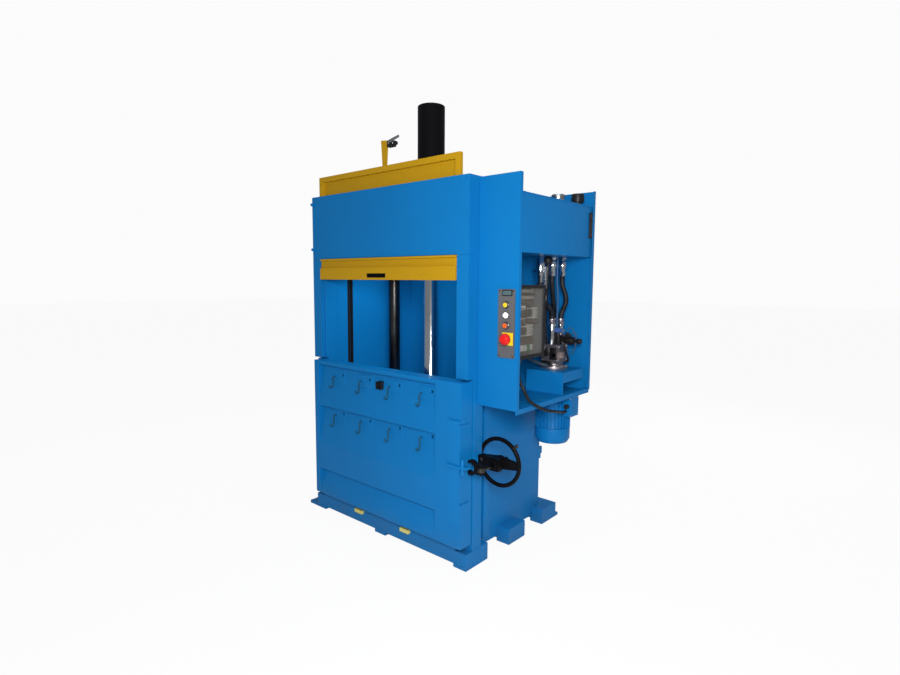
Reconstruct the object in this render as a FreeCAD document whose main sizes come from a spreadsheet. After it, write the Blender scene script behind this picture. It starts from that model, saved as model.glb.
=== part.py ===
"""Vertical recycling baler: press frame, side-hung bale door, sliding gate, hydraulic ram
with its platen, and the hydraulic unit that hangs between two wing plates.

Millimetres. +X is to the right seen from the front, +Y to the back, +Z up.
The origin is on the floor, under the centre pad of the middle base beam.
"""
import FreeCAD, Part
import math
import os
import re
from types import SimpleNamespace

import Sketcher
from FreeCAD import Placement, Rotation, Vector

SIZES = {
    # press frame; the front and back are measured from the origin
    "half_width": 695, "frame_front": 515, "frame_back": 375, "frame_top": 2200,
    "post_width": 84, "post_depth": 82, "post_setback": 55, "tube_wall": 6,
    "wall_inset": 78, "wall_thick": 6, "wall_foot": 45, "wall_drop": 10,
    "rib_width": 60, "rib_depth": 40, "rib_station": 305, "bar_depth": 30,
    "bar_first": 420, "bar_pitch": 520, "lug_size": 50, "lug_reach": 44, "lug_thick": 14, "lug_height": 452,
    # base
    "pad_height": 20, "beam_height": 80, "beam_wall": 8, "front_beam": 205, "middle_beam": 180,
    "rear_beam": 180, "rear_overhang": 107, "pad_length": 95, "pad_reach": 90, "rear_pad_tip": 32,
    "centre_pad": 60, "front_pad": 50, "front_pad_shift": 25,
    "floor_top": 137, "floor_thick": 8, "floor_rib": 8, "floor_rib_station": 150, "floor_rib_spread": 250,
    "tongue_width": 74, "tongue_height": 22, "tongue_station": 217, "tongue_proud": 22,
    "tongue_rise": 12,
    # guide slots for the platen
    "slot_setback": 252, "slot_width": 46, "slot_below": 80, "slot_above": 20,
    "channel_depth": 30, "channel_wall": 5, "channel_drop": 60,
    # crown
    "crown_drop": 280, "crown_thick": 30, "crown_beam": 60, "crown_spread": 160, "crown_half": 240,
    # ram
    "ram_shift": 10, "ram_bore": 75, "ram_tube": 90, "ram_rod": 52.5, "ram_length": 967, "ram_head": 22,
    "ram_port": 12, "ram_chamfer": 4, "ram_flange": 140, "ram_flange_thick": 25, "gland_drop": 110,
    "gland_length": 60, "piston_length": 20, "piston_gap": 2, "rod_collar": 30, "rod_collar_thick": 20,
    "guide_spread": 360, "guide_rod": 40, "run_gap": 0.05,
    # platen
    "platen_bottom": 780, "platen_height": 160, "platen_thick": 25, "platen_gap": 24,
    "platen_setback": 150, "platen_rim": 12, "platen_rim_drop": 50, "web_spread": 90, "web_thick": 16,
    "groove_width": 40, "groove_depth": 12, "shoe_height": 100, "shoe_gap": 2,
    # header, gate guides and gate
    "header_height": 420, "header_sheet": 5, "gate_show": 139, "gate_height": 684, "gate_depth": 26,
    "gate_inset": 8, "gate_engage": 10, "gate_sheet": 3, "gate_side_gap": 4, "gate_run": 0.5,
    "gate_rail": 77, "gate_rail_proud": 17, "gate_rail_gap": 5, "gate_rim": 34, "gate_band": 60,
    "gate_lip": 12, "gate_lip_gap": 2, "handle_length": 172, "handle_height": 26, "handle_centre": -36,
    "handle_rise": 14, "handle_depth": 22, "handle_rim": 5, "guide_gap": 12,
    # limit switch on top of the gate
    "switch_rise": 150, "switch_drop": 8, "switch_plate": 4, "switch_foot": 20, "switch_arm": 32,
    "switch_x": 8, "case_length": 52, "case_depth": 28, "case_height": 34, "switch_gap": 0.5,
    "lever_thick": 5, "lever_pivot": 4,
    "lever_reach": 94, "lever_rise": 28, "lever_width": 14,
    # door
    "door_bottom": 145, "door_height": 942, "door_proud": 50, "door_depth": 95, "door_sheet": 6,
    "door_gap": 4, "door_recess": 35, "door_rail": 25, "door_side": 3, "stile_left": 44, "stile_right": 192,
    "panel_upper": 287, "panel_middle": 265, "panel_flat": 184,
    "station_low": 140, "hook_first": -433, "hook_pitch": 269.5, "hook_wire": 5, "hook_height": 76,
    "hook_bend": 12, "hook_reach": 26, "hook_tip": 18,
    "station_width": 118, "station_rise": 40, "station_height": 80,
    "station_proud": 4, "station_edge": 14, "feed_shift": 80, "feed_rise": 52, "feed_hole": 9,
    "sight_x": 21, "sight_width": 50, "sight_height": 52, "sight_drop": 72,
    # hinges
    "hinge_side": 33, "hinge_inset": 4, "barrel_radius": 24, "barrel_height": 97, "hinge_low": 4,
    "hinge_high": 25, "hinge_pin": 10, "hinge_split": 1, "hinge_bar": 55, "hinge_clear": 0.5,
    # latch
    "latch_rise": 480, "bar_width": 88, "bar_low": 140, "bar_high": 735, "bar_thick": 12,
    "strap_height": 142, "strap_low": 123, "strap_high": 570, "strap_length": 84, "strap_thick": 6,
    "lug_half": 7, "lug_length": 46, "lug_depth": 28, "lock_pin": 9, "lock_pin_half": 44, "lock_pin_x": 12,
    "latch_reach": 105, "wheel_setback": 160, "wheel_radius": 133, "wheel_tube": 12, "wheel_hub": 36,
    "hub_half": 20, "spoke_thick": 14, "spoke_inner": 76, "spoke_outer": 40, "neck_radius": 24,
    "collar_radius": 32, "collar_thick": 10, "collar_gap": 0.5, "bracket_thick": 40, "bracket_half": 36,
    "bracket_gusset": 30, "gusset_thick": 12, "spindle_radius": 15, "latch_travel": 50,
    "claw_setback": 10, "claw_outer": 42, "claw_inner": 26, "claw_spine": 21, "claw_mouth": 17,
    "claw_depth": 26, "claw_nest": 4, "claw_pin": 8, "pin_proud": 4, "eye_radius": 20, "eye_half": 13,
    "cheek_gap": 1, "cheek_thick": 14,
    # wings, shelf and tank
    "wing_width": 260, "wing_sheet": 4, "wing_height": 1245, "wing_drop": 5, "wing_setback": 90,
    "wing_rim": 25, "rear_wing_back": 40, "wing_flange": 130, "shelf_thick": 6, "shelf_lip": 22,
    "shelf_hole": 73, "tank_height": 311, "tank_drop": 99, "tank_inset": 11, "tank_lid": 6,
    "filler_x": 105, "filler_setback": 650, "filler_radius": 40, "filler_height": 52, "filler_rim": 8,
    "filler_neck": 4, "filler_lid": 22, "cap_chamfer": 5, "breather_x": 55, "breather_setback": 800,
    "breather_radius": 38, "breather_height": 68, "breather_neck": 12, "breather_rise": 18,
    "gauge_inset": 41, "gauge_width": 30, "gauge_length": 157, "gauge_depth": 9, "gauge_drop": 39,
    "gauge_window": 14,
    # hydraulic unit
    "plinth_height": 134, "plinth_front": 615, "plinth_depth": 270, "plinth_width": 260,
    "plinth_side": 20, "plinth_sheet": 6, "plinth_skirt": 62, "bell_radius": 62,
    "motor_side": 170, "motor_setback": 765, "flange_radius": 86, "flange_rim": 16, "flange_neck": 56,
    "flange_height": 40, "block_half": 60, "block_height": 115, "relief_depth": 26, "relief_rest": 44,
    "stack_height": 60, "stack_half": 50, "stack_front": 4, "port_spread": 24, "coil_radius": 24,
    "coil_length": 70, "knob_radius": 17, "knob_length": 24, "port_radius": 21, "port_height": 70,
    "port_nut": 20, "port_crimp": 28, "union_crimp": 50, "union_nut": 28, "hose_radius": 15,
    "hose_straight": 0.185185, "hose_bow": 0.10101, "suction_straight": 0.214008,
    "return_shift": 15, "suction_shift": 10, "suction_radius": 17, "suction_setback": 560,
    "ferrule_length": 118, "valve_radius": 27, "valve_height": 82, "nut_radius": 20, "nut_height": 38,
    "valve_stub": 9, "valve_lever": 115, "valve_lever_width": 22, "nut_wall": 4, "return_front": 690,
    "return_rear": 815,
    # motor
    "motor_radius": 112, "motor_shell": 98, "motor_length": 250, "fin_count": 28, "fin_thick": 3.2,
    "motor_flange": 122, "motor_flange_thick": 14, "cowl_height": 96, "cowl_sheet": 3, "cowl_wall": 2,
    "cowl_turn": 24, "cowl_round": 14, "spigot_height": 14, "spigot_gap": 1,
    "cowl_slots": 12, "slot_bar": 9, "slot_margin": 10,
    "shaft_radius": 12, "shaft_depth": 60, "shaft_gap": 2,
    "fan_hub": 24, "fan_height": 30, "fan_blades": 6, "blade_root": 4, "blade_thick": 4,
    "fan_gap": 12,
    "terminal_depth": 42, "terminal_width": 100, "terminal_height": 132, "terminal_drop": 4,
    "terminal_gap": 0.3, "gland_radius": 14, "gland_reach": 22, "gland_rise": 40,
    "cable_radius": 9, "cable_inset": 57, "cable_setback": 186, "cable_lean": 22, "cable_step": 0.201613,
    "cable_run": 86, "cable_out": 11,
    # cabinet and control panel
    "cabinet_x": 22, "cabinet_depth": 168, "cabinet_width": 296, "cabinet_height": 398,
    "cabinet_drop": 172, "cabinet_sheet": 3, "cabinet_door": 14, "cabinet_gap": 1, "window_rim": 15,
    "window_rebate": 8, "window_thick": 4, "barrel_small": 7, "barrel_length": 50, "barrel_inset": 60,
    "pin_small": 4, "device_plate": 4, "device_margin": 16, "breaker_depth": 70, "breaker_height": 85,
    "contactor_depth": 84, "contactor_height": 85, "device_gap": 3,
    "control_width": 104, "control_height": 364, "control_edge": 19, "control_rise": 283,
    "control_thick": 8, "bezel_radius": 16, "bezel_height": 11,
    "cap_radius": 12.5, "cap_proud": 5, "cap_round": 2,
    "press_travel": 4, "control_first": 83, "control_step": 54.5, "lamp_height": 18, "lamp_round": 4,
    "lamp_rim": 6, "estop_shift": 12, "estop_drop": 262, "estop_radius": 31, "estop_neck": 15,
    "estop_height": 46, "estop_crown": 12, "estop_dome": 24, "estop_collar": 20, "estop_travel": 6,
}

doc = FreeCAD.newDocument("baler")
sheet = doc.addObject("Spreadsheet::Sheet", "dims")
for row, (alias, value) in enumerate(SIZES.items(), start=1):
    sheet.set(f"A{row}", alias)
    sheet.set(f"B{row}", str(value))
    sheet.setAlias(f"B{row}", alias)
doc.recompute()
D = SimpleNamespace(**{alias: float(sheet.get(alias)) for alias in SIZES})

ALIAS = re.compile(r"\b[a-z]+(?:_[a-z]+)+\b")
ALONG = {"X": Rotation(Vector(0, 1, 0), 90), "Y": Rotation(Vector(1, 0, 0), -90), "Z": Rotation()}
PLANES = {"XY": ("XY_Plane", 2), "XZ": ("XZ_Plane", 1), "YZ": ("YZ_Plane", 0)}
SIDES = ("left", "right")
CLEAR = 1      # a cutting tool runs this far past the faces that it cuts
NODES = []


# ---------------------------------------------------------------- building blocks

def bind(obj, prop, expression):
    """Tie a property to the sheet: every alias in the expression is a driving size."""
    obj.setExpression(prop, ALIAS.sub(r"dims.\g<0>", str(expression)))


def place(obj, x, y, z):
    for axis, expression in zip("xyz", (x, y, z)):
        bind(obj, f"Placement.Base.{axis}", expression)
    return obj


def add(*terms):
    """Sum of expressions."""
    return " + ".join(f"({term})" for term in terms)


def less(first, *terms):
    """The first expression less all the others."""
    return f"({first})" + "".join(f" - ({term})" for term in terms)


def around(centre, half):
    return less(centre, half), add(centre, half)


def from_low(low, size):
    return low, add(low, size)


def from_high(high, size):
    return less(high, size), high


def grown(span, by):
    return less(span[0], by), add(span[1], by)


def behind(setback):
    """Y of a plane that lies this far behind the front of the frame."""
    return add("0 - frame_front", setback)


def on_side(side, inner, outer):
    """X span between two distances from the middle plane, on the left or the right."""
    if side == "left":
        return f"0 - ({outer})", f"0 - ({inner})"
    return inner, outer


def block(name, x, y, z):
    """Box between (low, high) expressions on each axis."""
    box = doc.addObject("Part::Box", name)
    for prop, (low, high) in zip(("Length", "Width", "Height"), (x, y, z)):
        bind(box, prop, less(high, low))
    return place(box, x[0], y[0], z[0])


def bar(name, axis, centre, radius, span):
    """Round bar along an axis. centre holds its other two coordinates, in X, Y, Z order."""
    rod = doc.addObject("Part::Cylinder", name)
    rod.Placement = Placement(Vector(), ALONG[axis])
    bind(rod, "Radius", radius)
    bind(rod, "Height", less(span[1], span[0]))
    where = list(centre)
    where.insert("XYZ".index(axis), span[0])
    return place(rod, *where)


def join(name, *shapes):
    fusion = doc.addObject("Part::MultiFuse", name)
    fusion.Shapes = list(shapes)
    fusion.Refine = True
    return fusion


def cut(name, base, *tools):
    result = doc.addObject("Part::Cut", name)
    result.Base = base
    result.Tool = tools[0] if len(tools) == 1 else join(f"{name}_tools", *tools)
    return result


def group(name, *shapes):
    """Several separate solids that share one node."""
    compound = doc.addObject("Part::Compound", name)
    compound.Links = list(shapes)
    return compound


def tube(name, x, y, z, wall, open_low=True, open_high=True):
    """Box section along Z, with its ends open or closed."""
    low = less(z[0], CLEAR) if open_low else add(z[0], wall)
    high = add(z[1], CLEAR) if open_high else less(z[1], wall)
    minus = f"0 - ({wall})"
    void = block(f"{name}_void", grown(x, minus), grown(y, minus), (low, high))
    return cut(name, block(f"{name}_skin", x, y, z), void)


def sketch_on(body, plane, outline):
    """Closed outline of straight edges, with every corner tied to the sheet."""
    sketch = body.newObject("Sketcher::SketchObject", f"{body.Name}_sketch")
    role = PLANES[plane][0]
    datum = next(f for f in body.Origin.OriginFeatures if f.Role == role)
    sketch.AttachmentSupport = [(datum, "")]
    sketch.MapMode = "FlatFace"
    count = len(outline)
    corners = [Vector(100 * math.cos(k * math.tau / count), 100 * math.sin(k * math.tau / count), 0)
               for k in range(count)]
    for k, corner in enumerate(corners):
        sketch.addGeometry(Part.LineSegment(corner, corners[(k + 1) % count]))
    for k in range(count):
        sketch.addConstraint(Sketcher.Constraint("Coincident", k, 2, (k + 1) % count, 1))
    for k, (u, v) in enumerate(outline):
        for kind, expression, start in (("DistanceX", u, corners[k].x), ("DistanceY", v, corners[k].y)):
            index = sketch.addConstraint(Sketcher.Constraint(kind, -1, 1, k, 1, start))
            bind(sketch, f"Constraints[{index}]", expression)
    return sketch


def pad(name, plane, outline, span):
    """Prism of an outline, between (low, high) on the plane's normal."""
    body = doc.addObject("PartDesign::Body", name)
    feature_sketch = sketch_on(body, plane, outline)
    feature = body.newObject("PartDesign::Pad", f"{name}_pad")
    feature.Profile = feature_sketch
    bind(feature, "Length", less(span[1], span[0]))
    where = ["0", "0", "0"]
    where[PLANES[plane][1]] = span[1] if plane == "XZ" else span[0]
    return place(body, *where)


def turned(name, axis, centre, outline):
    """Turned piece: its outline is a list of (radius, station along the axis)."""
    body = doc.addObject("PartDesign::Body", name)
    profile = sketch_on(body, "XZ", outline)
    feature = body.newObject("PartDesign::Revolution", f"{name}_turn")
    feature.Profile = profile
    feature.ReferenceAxis = (profile, ["V_Axis"])
    feature.Angle = 360
    body.Placement = Placement(Vector(), ALONG[axis])
    where = list(centre)
    where.insert("XYZ".index(axis), "0")
    return place(body, *where)


def blade(name, centre, inner, length, thick, span, angle):
    """Flat radial plate about a vertical axis, from a radius outwards."""
    plate = doc.addObject("Part::Box", name)
    bind(plate, "Length", length)
    bind(plate, "Width", thick)
    bind(plate, "Height", less(span[1], span[0]))
    plate.Placement = Placement(Vector(), Rotation(Vector(0, 0, 1), angle))
    x = add(centre[0], f"({inner}) * cos({angle}) + ({thick}) / 2 * sin({angle})")
    y = add(centre[1], f"({inner}) * sin({angle}) - ({thick}) / 2 * cos({angle})")
    return place(plate, x, y, span[0])


def bent_bar(points, radius, bend=None):
    """Round bar along straight runs, with tangent arcs as large as the runs allow or of one radius."""
    corners = [Vector(*point) for point in points]
    along = (corners[1] - corners[0]).normalize()
    face = Part.Face(Part.Wire([Part.Circle(corners[0], along, radius).toShape()]))
    here, pieces, length, bends = corners[0], [], 0, []
    for before, corner, after in zip(corners, corners[1:], corners[2:]):
        leave = (after - corner).normalize()
        turn = along.getAngle(leave)
        shorter = min((corner - before).Length, (after - corner).Length)
        arc = bend or 0.45 * shorter / math.tan(turn / 2)
        stop = corner - along * (arc * math.tan(turn / 2))
        if (stop - here).Length > CLEAR / 1000:
            pieces.append(face.extrude(stop - here))
            face.translate(stop - here)
        length += (stop - here).Length + arc * turn
        axis = along.cross(leave).normalize()
        centre = stop + axis.cross(along) * arc
        pieces.append(face.revolve(centre, axis, math.degrees(turn)))
        face.rotate(centre, axis, math.degrees(turn))
        here, along = corner + leave * (arc * math.tan(turn / 2)), leave
        bends.append(round(arc))
    pieces.append(face.extrude(corners[-1] - here))
    length += (corners[-1] - here).Length
    solid = pieces[0].fuse(pieces[1:]).removeSplitter()
    ratio = solid.Volume / (math.pi * radius ** 2 * length)
    print(f"bar r={radius} bends={bends} length={length:.0f} volume ratio={ratio:.4f}")
    return solid


def feature(name, shape):
    made = doc.addObject("Part::Feature", name)
    made.Shape = shape
    return made


def node(obj):
    """Mark a finished sub-part; its name is the node's name."""
    NODES.append(obj)
    return obj


# ---------------------------------------------------------------- shared stations

FRONT = "(0 - frame_front)"
POST_IN = "(half_width - post_width)"
WALL_OUT = "(half_width - wall_inset)"
WALL_IN = "(half_width - wall_inset - wall_thick)"
POST_Y = (behind("post_setback"), behind("post_setback + post_depth"))
BEAM_TOP = "(pad_height + beam_height)"
INSIDE = (f"0 - {WALL_IN}", WALL_IN)
SLOT_Y = around(behind("slot_setback"), "slot_width / 2")
SLOT_TOP = "(frame_top - crown_drop - slot_above)"
SLOT_LOW = "(platen_bottom - slot_below)"

RAM_Y = "((frame_back - frame_front) / 2 + ram_shift)"
CROWN_Z = "(frame_top - crown_drop)"
GLAND_Z = f"({CROWN_Z} - gland_drop)"
GLAND_TOP = f"({GLAND_Z} + gland_length)"
PLATEN_TOP = "(platen_bottom + platen_height)"

HEADER_Z = "(frame_top - header_height)"
GATE_Z = f"({HEADER_Z} - gate_show)"
GATE_TOP = f"({GATE_Z} + gate_height)"
GATE_Y = from_low(behind("gate_inset"), "gate_depth")
GATE_HALF = f"({POST_IN} + gate_engage)"

DOOR_TOP = "(door_bottom + door_height)"
DOOR_Y = from_low(behind("0 - door_proud"), "door_depth")
DOOR_X = ("(0 - half_width + hinge_side + barrel_radius + door_gap)", "(half_width - door_side)")
FOLD_UPPER = f"({DOOR_TOP} - door_rail - panel_upper)"
FOLD_MIDDLE = f"({FOLD_UPPER} - panel_middle)"
FOLD_LOWER = f"({FOLD_MIDDLE} - panel_flat)"
HINGE = ("(0 - half_width + hinge_side)", behind("hinge_inset"))

LATCH_X = "(half_width + latch_reach)"
LATCH_Z = "(door_bottom + latch_rise)"
WHEEL_Y = behind("wheel_setback")

WING_X = "(half_width + wing_width)"
WING_TOP = "(frame_top - wing_drop)"
WING_Z = f"({WING_TOP} - wing_height)"
WING_FRONT = from_low(behind("wing_setback"), "wing_sheet")
WING_REAR = from_high("frame_back + rear_wing_back", "wing_sheet")
BAY_X = (f"({WALL_OUT} + channel_depth)", f"({WING_X} - tank_inset)")
BAY_Y = (WING_FRONT[1], WING_REAR[0])
SHELF_TOP = f"({WING_Z} + shelf_thick)"
TANK_TOP = "(frame_top - tank_drop)"
TANK_Z = f"({TANK_TOP} - tank_height)"
PLINTH_TOP = f"({SHELF_TOP} + plinth_height)"
MOTOR = (f"({WING_X} - motor_side)", behind("motor_setback"))
BLOCK_Z = f"({PLINTH_TOP} + flange_height)"
STACK_Z = f"({BLOCK_Z} + block_height)"
COWL_TOP = f"({WING_Z} - motor_length)"


# ---------------------------------------------------------------- base

def base():
    spans = {
        "front": from_low(FRONT, "front_beam"),
        "middle": around("0", "middle_beam / 2"),
        "rear": from_high("frame_back + rear_overhang", "rear_beam"),
    }
    full = ("0 - half_width", "half_width")
    beams = [tube(f"beam_{where}", full, y, ("pad_height", BEAM_TOP), "beam_wall", True, False)
             for where, y in spans.items()]
    node(group("base_beams", *beams))

    pads = [block("pad_centre", around("0", "centre_pad"), spans["middle"], ("0", "pad_height")),
            block("pad_front_centre", around("0 - front_pad_shift", "front_pad"),
                  from_low(FRONT, "centre_pad"), ("0", "pad_height"))]
    for side in SIDES:
        end = on_side(side, "half_width - pad_length", "half_width")
        toe = on_side(side, "half_width - pad_length", "half_width + pad_reach")
        if side == "left":
            pads.append(block("pad_front_left", toe, from_low(FRONT, "pad_reach"), ("0", "pad_height")))
        else:
            pads.append(block("pad_front_right", end, spans["front"], ("0", "pad_height")))
        pads.append(block(f"pad_middle_{side}", end, spans["middle"], ("0", "pad_height")))
        long_rear = (spans["rear"][0], add(spans["rear"][1], "rear_pad_tip"))
        pads.append(block(f"pad_rear_{side}", end, long_rear, ("0", "pad_height")))
    node(group("foot_pads", *pads))

    low = "floor_top - floor_thick"
    back = "frame_back - wall_thick"
    pieces = [block("floor_sheet", INSIDE, (FRONT, back), (low, "floor_top")),
              block("floor_lip", INSIDE, from_low(FRONT, "floor_thick"), (BEAM_TOP, low))]
    for side in SIDES:
        for k, station in enumerate(("floor_rib_station", "floor_rib_station + floor_rib_spread")):
            x = on_side(side, station, add(station, "floor_rib"))
            pieces.append(block(f"floor_rib_{side}_{k}", x, (FRONT, back), (BEAM_TOP, low)))
    node(join("chamber_floor", *pieces))

    tongues = [block(f"tongue_{side}", on_side(side, "tongue_station - tongue_width / 2",
                                               "tongue_station + tongue_width / 2"),
                     from_high(FRONT, "tongue_proud"),
                     from_high(add(BEAM_TOP, "tongue_rise"), "tongue_height"))
               for side in SIDES]
    node(group("ejector_tips", *tongues))


# ---------------------------------------------------------------- posts, walls and crown

def posts():
    made = [tube(f"front_post_{side}", on_side(side, POST_IN, "half_width"), POST_Y,
                 (BEAM_TOP, "frame_top"), "tube_wall", True, False) for side in SIDES]
    node(group("front_posts", *made))


def side_wall(side):
    """Chamber wall, notched over the base beams and slotted for the platen's shoe."""
    x = on_side(side, WALL_IN, WALL_OUT)
    through = grown(x, CLEAR)
    plate = block(f"wall_{side}", x, (POST_Y[1], "frame_back"), ("wall_foot", "frame_top - wall_drop"))
    below = (less("wall_foot", CLEAR), BEAM_TOP)
    tools = [
        block(f"wall_{side}_slot", through, SLOT_Y, (SLOT_LOW, SLOT_TOP)),
        block(f"wall_{side}_notch_front", through, (less(POST_Y[1], CLEAR), behind("front_beam")), below),
        block(f"wall_{side}_notch_middle", through, around("0", "middle_beam / 2"), below),
        block(f"wall_{side}_notch_rear", through,
              ("frame_back + rear_overhang - rear_beam", add("frame_back", CLEAR)), below),
    ]
    node(cut(f"side_wall_{side}", plate, *tools))


def guide_channels():
    """Folded channels outside the walls that close the guide slots."""
    made = []
    for side in SIDES:
        z = (BEAM_TOP, "frame_top - channel_drop")
        skin = block(f"channel_{side}_skin", on_side(side, WALL_OUT, add(WALL_OUT, "channel_depth")),
                     grown(SLOT_Y, "channel_wall"), z)
        void_x = on_side(side, less(WALL_OUT, CLEAR), add(WALL_OUT, "channel_depth - channel_wall"))
        void = block(f"channel_{side}_void", void_x, SLOT_Y, (less(z[0], CLEAR), less(z[1], "channel_wall")))
        made.append(cut(f"channel_{side}", skin, void))
    node(group("guide_channels", *made))


def back_wall():
    z = (BEAM_TOP, "frame_top - wall_drop")
    pieces = [block("back_sheet", INSIDE, ("frame_back - wall_thick", "frame_back"), z)]
    for side in SIDES:
        x = on_side(side, "rib_station - rib_width / 2", "rib_station + rib_width / 2")
        pieces.append(block(f"back_rib_{side}", x, from_low("frame_back", "rib_depth"), z))
    for k in range(3):
        low = f"bar_first + {k} * bar_pitch"
        pieces.append(block(f"back_bar_{k}", INSIDE, from_low("frame_back", "bar_depth"),
                            from_low(low, "rib_width")))
    pieces.append(block("back_lug", from_high(WALL_IN, "lug_thick"), from_low("frame_back", "lug_reach"),
                        from_low("lug_height", "lug_size")))
    node(join("back_wall", *pieces))


def crown():
    """Top of the frame: a bored plate under two cross beams."""
    z = from_low(CROWN_Z, "crown_thick")
    plate = block("crown_blank", INSIDE, around(RAM_Y, "crown_half"), z)
    bores = [bar("crown_bore", "Z", ("0", RAM_Y), "ram_tube", grown(z, CLEAR))]
    for side, x in zip(SIDES, ("0 - guide_spread", "guide_spread")):
        bores.append(bar(f"crown_bore_{side}", "Z", (x, RAM_Y), "guide_rod + run_gap", grown(z, CLEAR)))
    node(cut("crown_plate", plate, *bores))
    beams = []
    for end, y in (("front", from_high(less(RAM_Y, "crown_spread"), "crown_beam")),
                   ("rear", from_low(add(RAM_Y, "crown_spread"), "crown_beam"))):
        beam_z = (z[1], "frame_top")
        inner_z = (add(z[1], "tube_wall"), "frame_top - tube_wall")
        void = block(f"crown_{end}_void", grown(INSIDE, CLEAR), grown(y, "0 - tube_wall"), inner_z)
        beams.append(cut(f"crown_{end}", block(f"crown_{end}_skin", INSIDE, y, beam_z), void))
    node(group("crown_beams", *beams))


# ---------------------------------------------------------------- ram and platen

def ram():
    flange_z = f"({CROWN_Z} + crown_thick)"
    top = f"({GLAND_Z} + ram_length)"
    node(turned("cylinder_tube", "Z", ("0", RAM_Y), [
        ("ram_rod + run_gap", GLAND_Z),
        ("ram_tube", GLAND_Z),
        ("ram_tube", flange_z),
        ("ram_flange", flange_z),
        ("ram_flange", add(flange_z, "ram_flange_thick")),
        ("ram_tube", add(flange_z, "ram_flange_thick")),
        ("ram_tube", less(top, "ram_chamfer")),
        ("ram_tube - ram_chamfer", top),
        ("ram_port", top),
        ("ram_port", less(top, "ram_head")),
        ("ram_bore", less(top, "ram_head")),
        ("ram_bore", GLAND_TOP),
        ("ram_rod + run_gap", GLAND_TOP),
    ]))
    piston = add(GLAND_TOP, "piston_gap")
    node(turned("ram_rod", "Z", ("0", RAM_Y), [
        ("0", PLATEN_TOP),
        ("ram_rod + rod_collar", PLATEN_TOP),
        ("ram_rod + rod_collar", add(PLATEN_TOP, "rod_collar_thick")),
        ("ram_rod", add(PLATEN_TOP, "rod_collar_thick")),
        ("ram_rod", piston),
        ("ram_bore - run_gap", piston),
        ("ram_bore - run_gap", add(piston, "piston_length")),
        ("0", add(piston, "piston_length")),
    ]))
    rods = [bar(f"guide_rod_{side}", "Z", (x, RAM_Y), "guide_rod", (PLATEN_TOP, "frame_top - wall_drop"))
            for side, x in zip(SIDES, ("0 - guide_spread", "guide_spread"))]
    node(group("guide_rods", *rods))


def platen():
    half = less(WALL_IN, "platen_gap")
    x = (f"0 - ({half})", half)
    y = (behind("platen_setback"), "frame_back - wall_thick - platen_gap")
    face_top = "platen_bottom + platen_thick"
    cover_low = less(PLATEN_TOP, "platen_rim")
    reach = "web_spread + web_thick / 2"
    pieces = [
        block("platen_face", x, y, ("platen_bottom", face_top)),
        tube("platen_rim", x, y, (face_top, less(PLATEN_TOP, "platen_rim_drop")), "platen_rim"),
        block("platen_cover", around("0", "guide_spread + guide_rod + platen_rim"), around(RAM_Y, reach),
              (cover_low, PLATEN_TOP)),
    ]
    for k, centre in enumerate((less(RAM_Y, "web_spread"), add(RAM_Y, "web_spread"))):
        pieces.append(block(f"platen_web_{k}", grown(x, "0 - platen_rim"), around(centre, "web_thick / 2"),
                            (face_top, cover_low)))
    for side in SIDES:
        shoe_x = on_side(side, half, add(WALL_OUT, "channel_depth - channel_wall - shoe_gap"))
        pieces.append(block(f"platen_shoe_{side}", shoe_x, grown(SLOT_Y, "0 - shoe_gap"),
                            from_low("platen_bottom", "shoe_height")))
    grooves = [block(f"platen_groove_{k}",
                     around(f"hook_first + feed_shift / 2 + {k} * hook_pitch", "groove_width / 2"),
                     grown(y, CLEAR), (less("platen_bottom", CLEAR), "platen_bottom + groove_depth"))
               for k in range(4)]
    node(cut("platen", join("platen_welded", *pieces), *grooves))


# ---------------------------------------------------------------- header, gate and limit switch

def header():
    full = ("0 - half_width", "half_width")
    pieces = [block("header_front", full, from_low(FRONT, "header_sheet"), (HEADER_Z, "frame_top"))]
    for side in SIDES:
        x = on_side(side, "half_width - header_sheet", "half_width")
        pieces.append(block(f"header_return_{side}", x, (FRONT, POST_Y[0]), (HEADER_Z, "frame_top")))
    node(join("header_panel", *pieces))


def gate_guides():
    made = []
    run = ("gate_side_gap", "gate_run")
    for side in SIDES:
        lower = block(f"guide_{side}_lower", on_side(side, POST_IN, "half_width"), (FRONT, POST_Y[0]),
                      (add(DOOR_TOP, "guide_gap"), HEADER_Z))
        upper = block(f"guide_{side}_upper", on_side(side, POST_IN, "half_width - header_sheet"),
                      (behind("header_sheet"), POST_Y[0]), (HEADER_Z, "frame_top"))
        groove = block(f"guide_{side}_groove",
                       on_side(side, less(POST_IN, CLEAR), add(GATE_HALF, run[0])), grown(GATE_Y, run[1]),
                       (DOOR_TOP, add("frame_top", CLEAR)))
        made.append(cut(f"guide_{side}", join(f"guide_{side}_bar", lower, upper), groove))
    node(group("gate_guides", *made))


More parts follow.
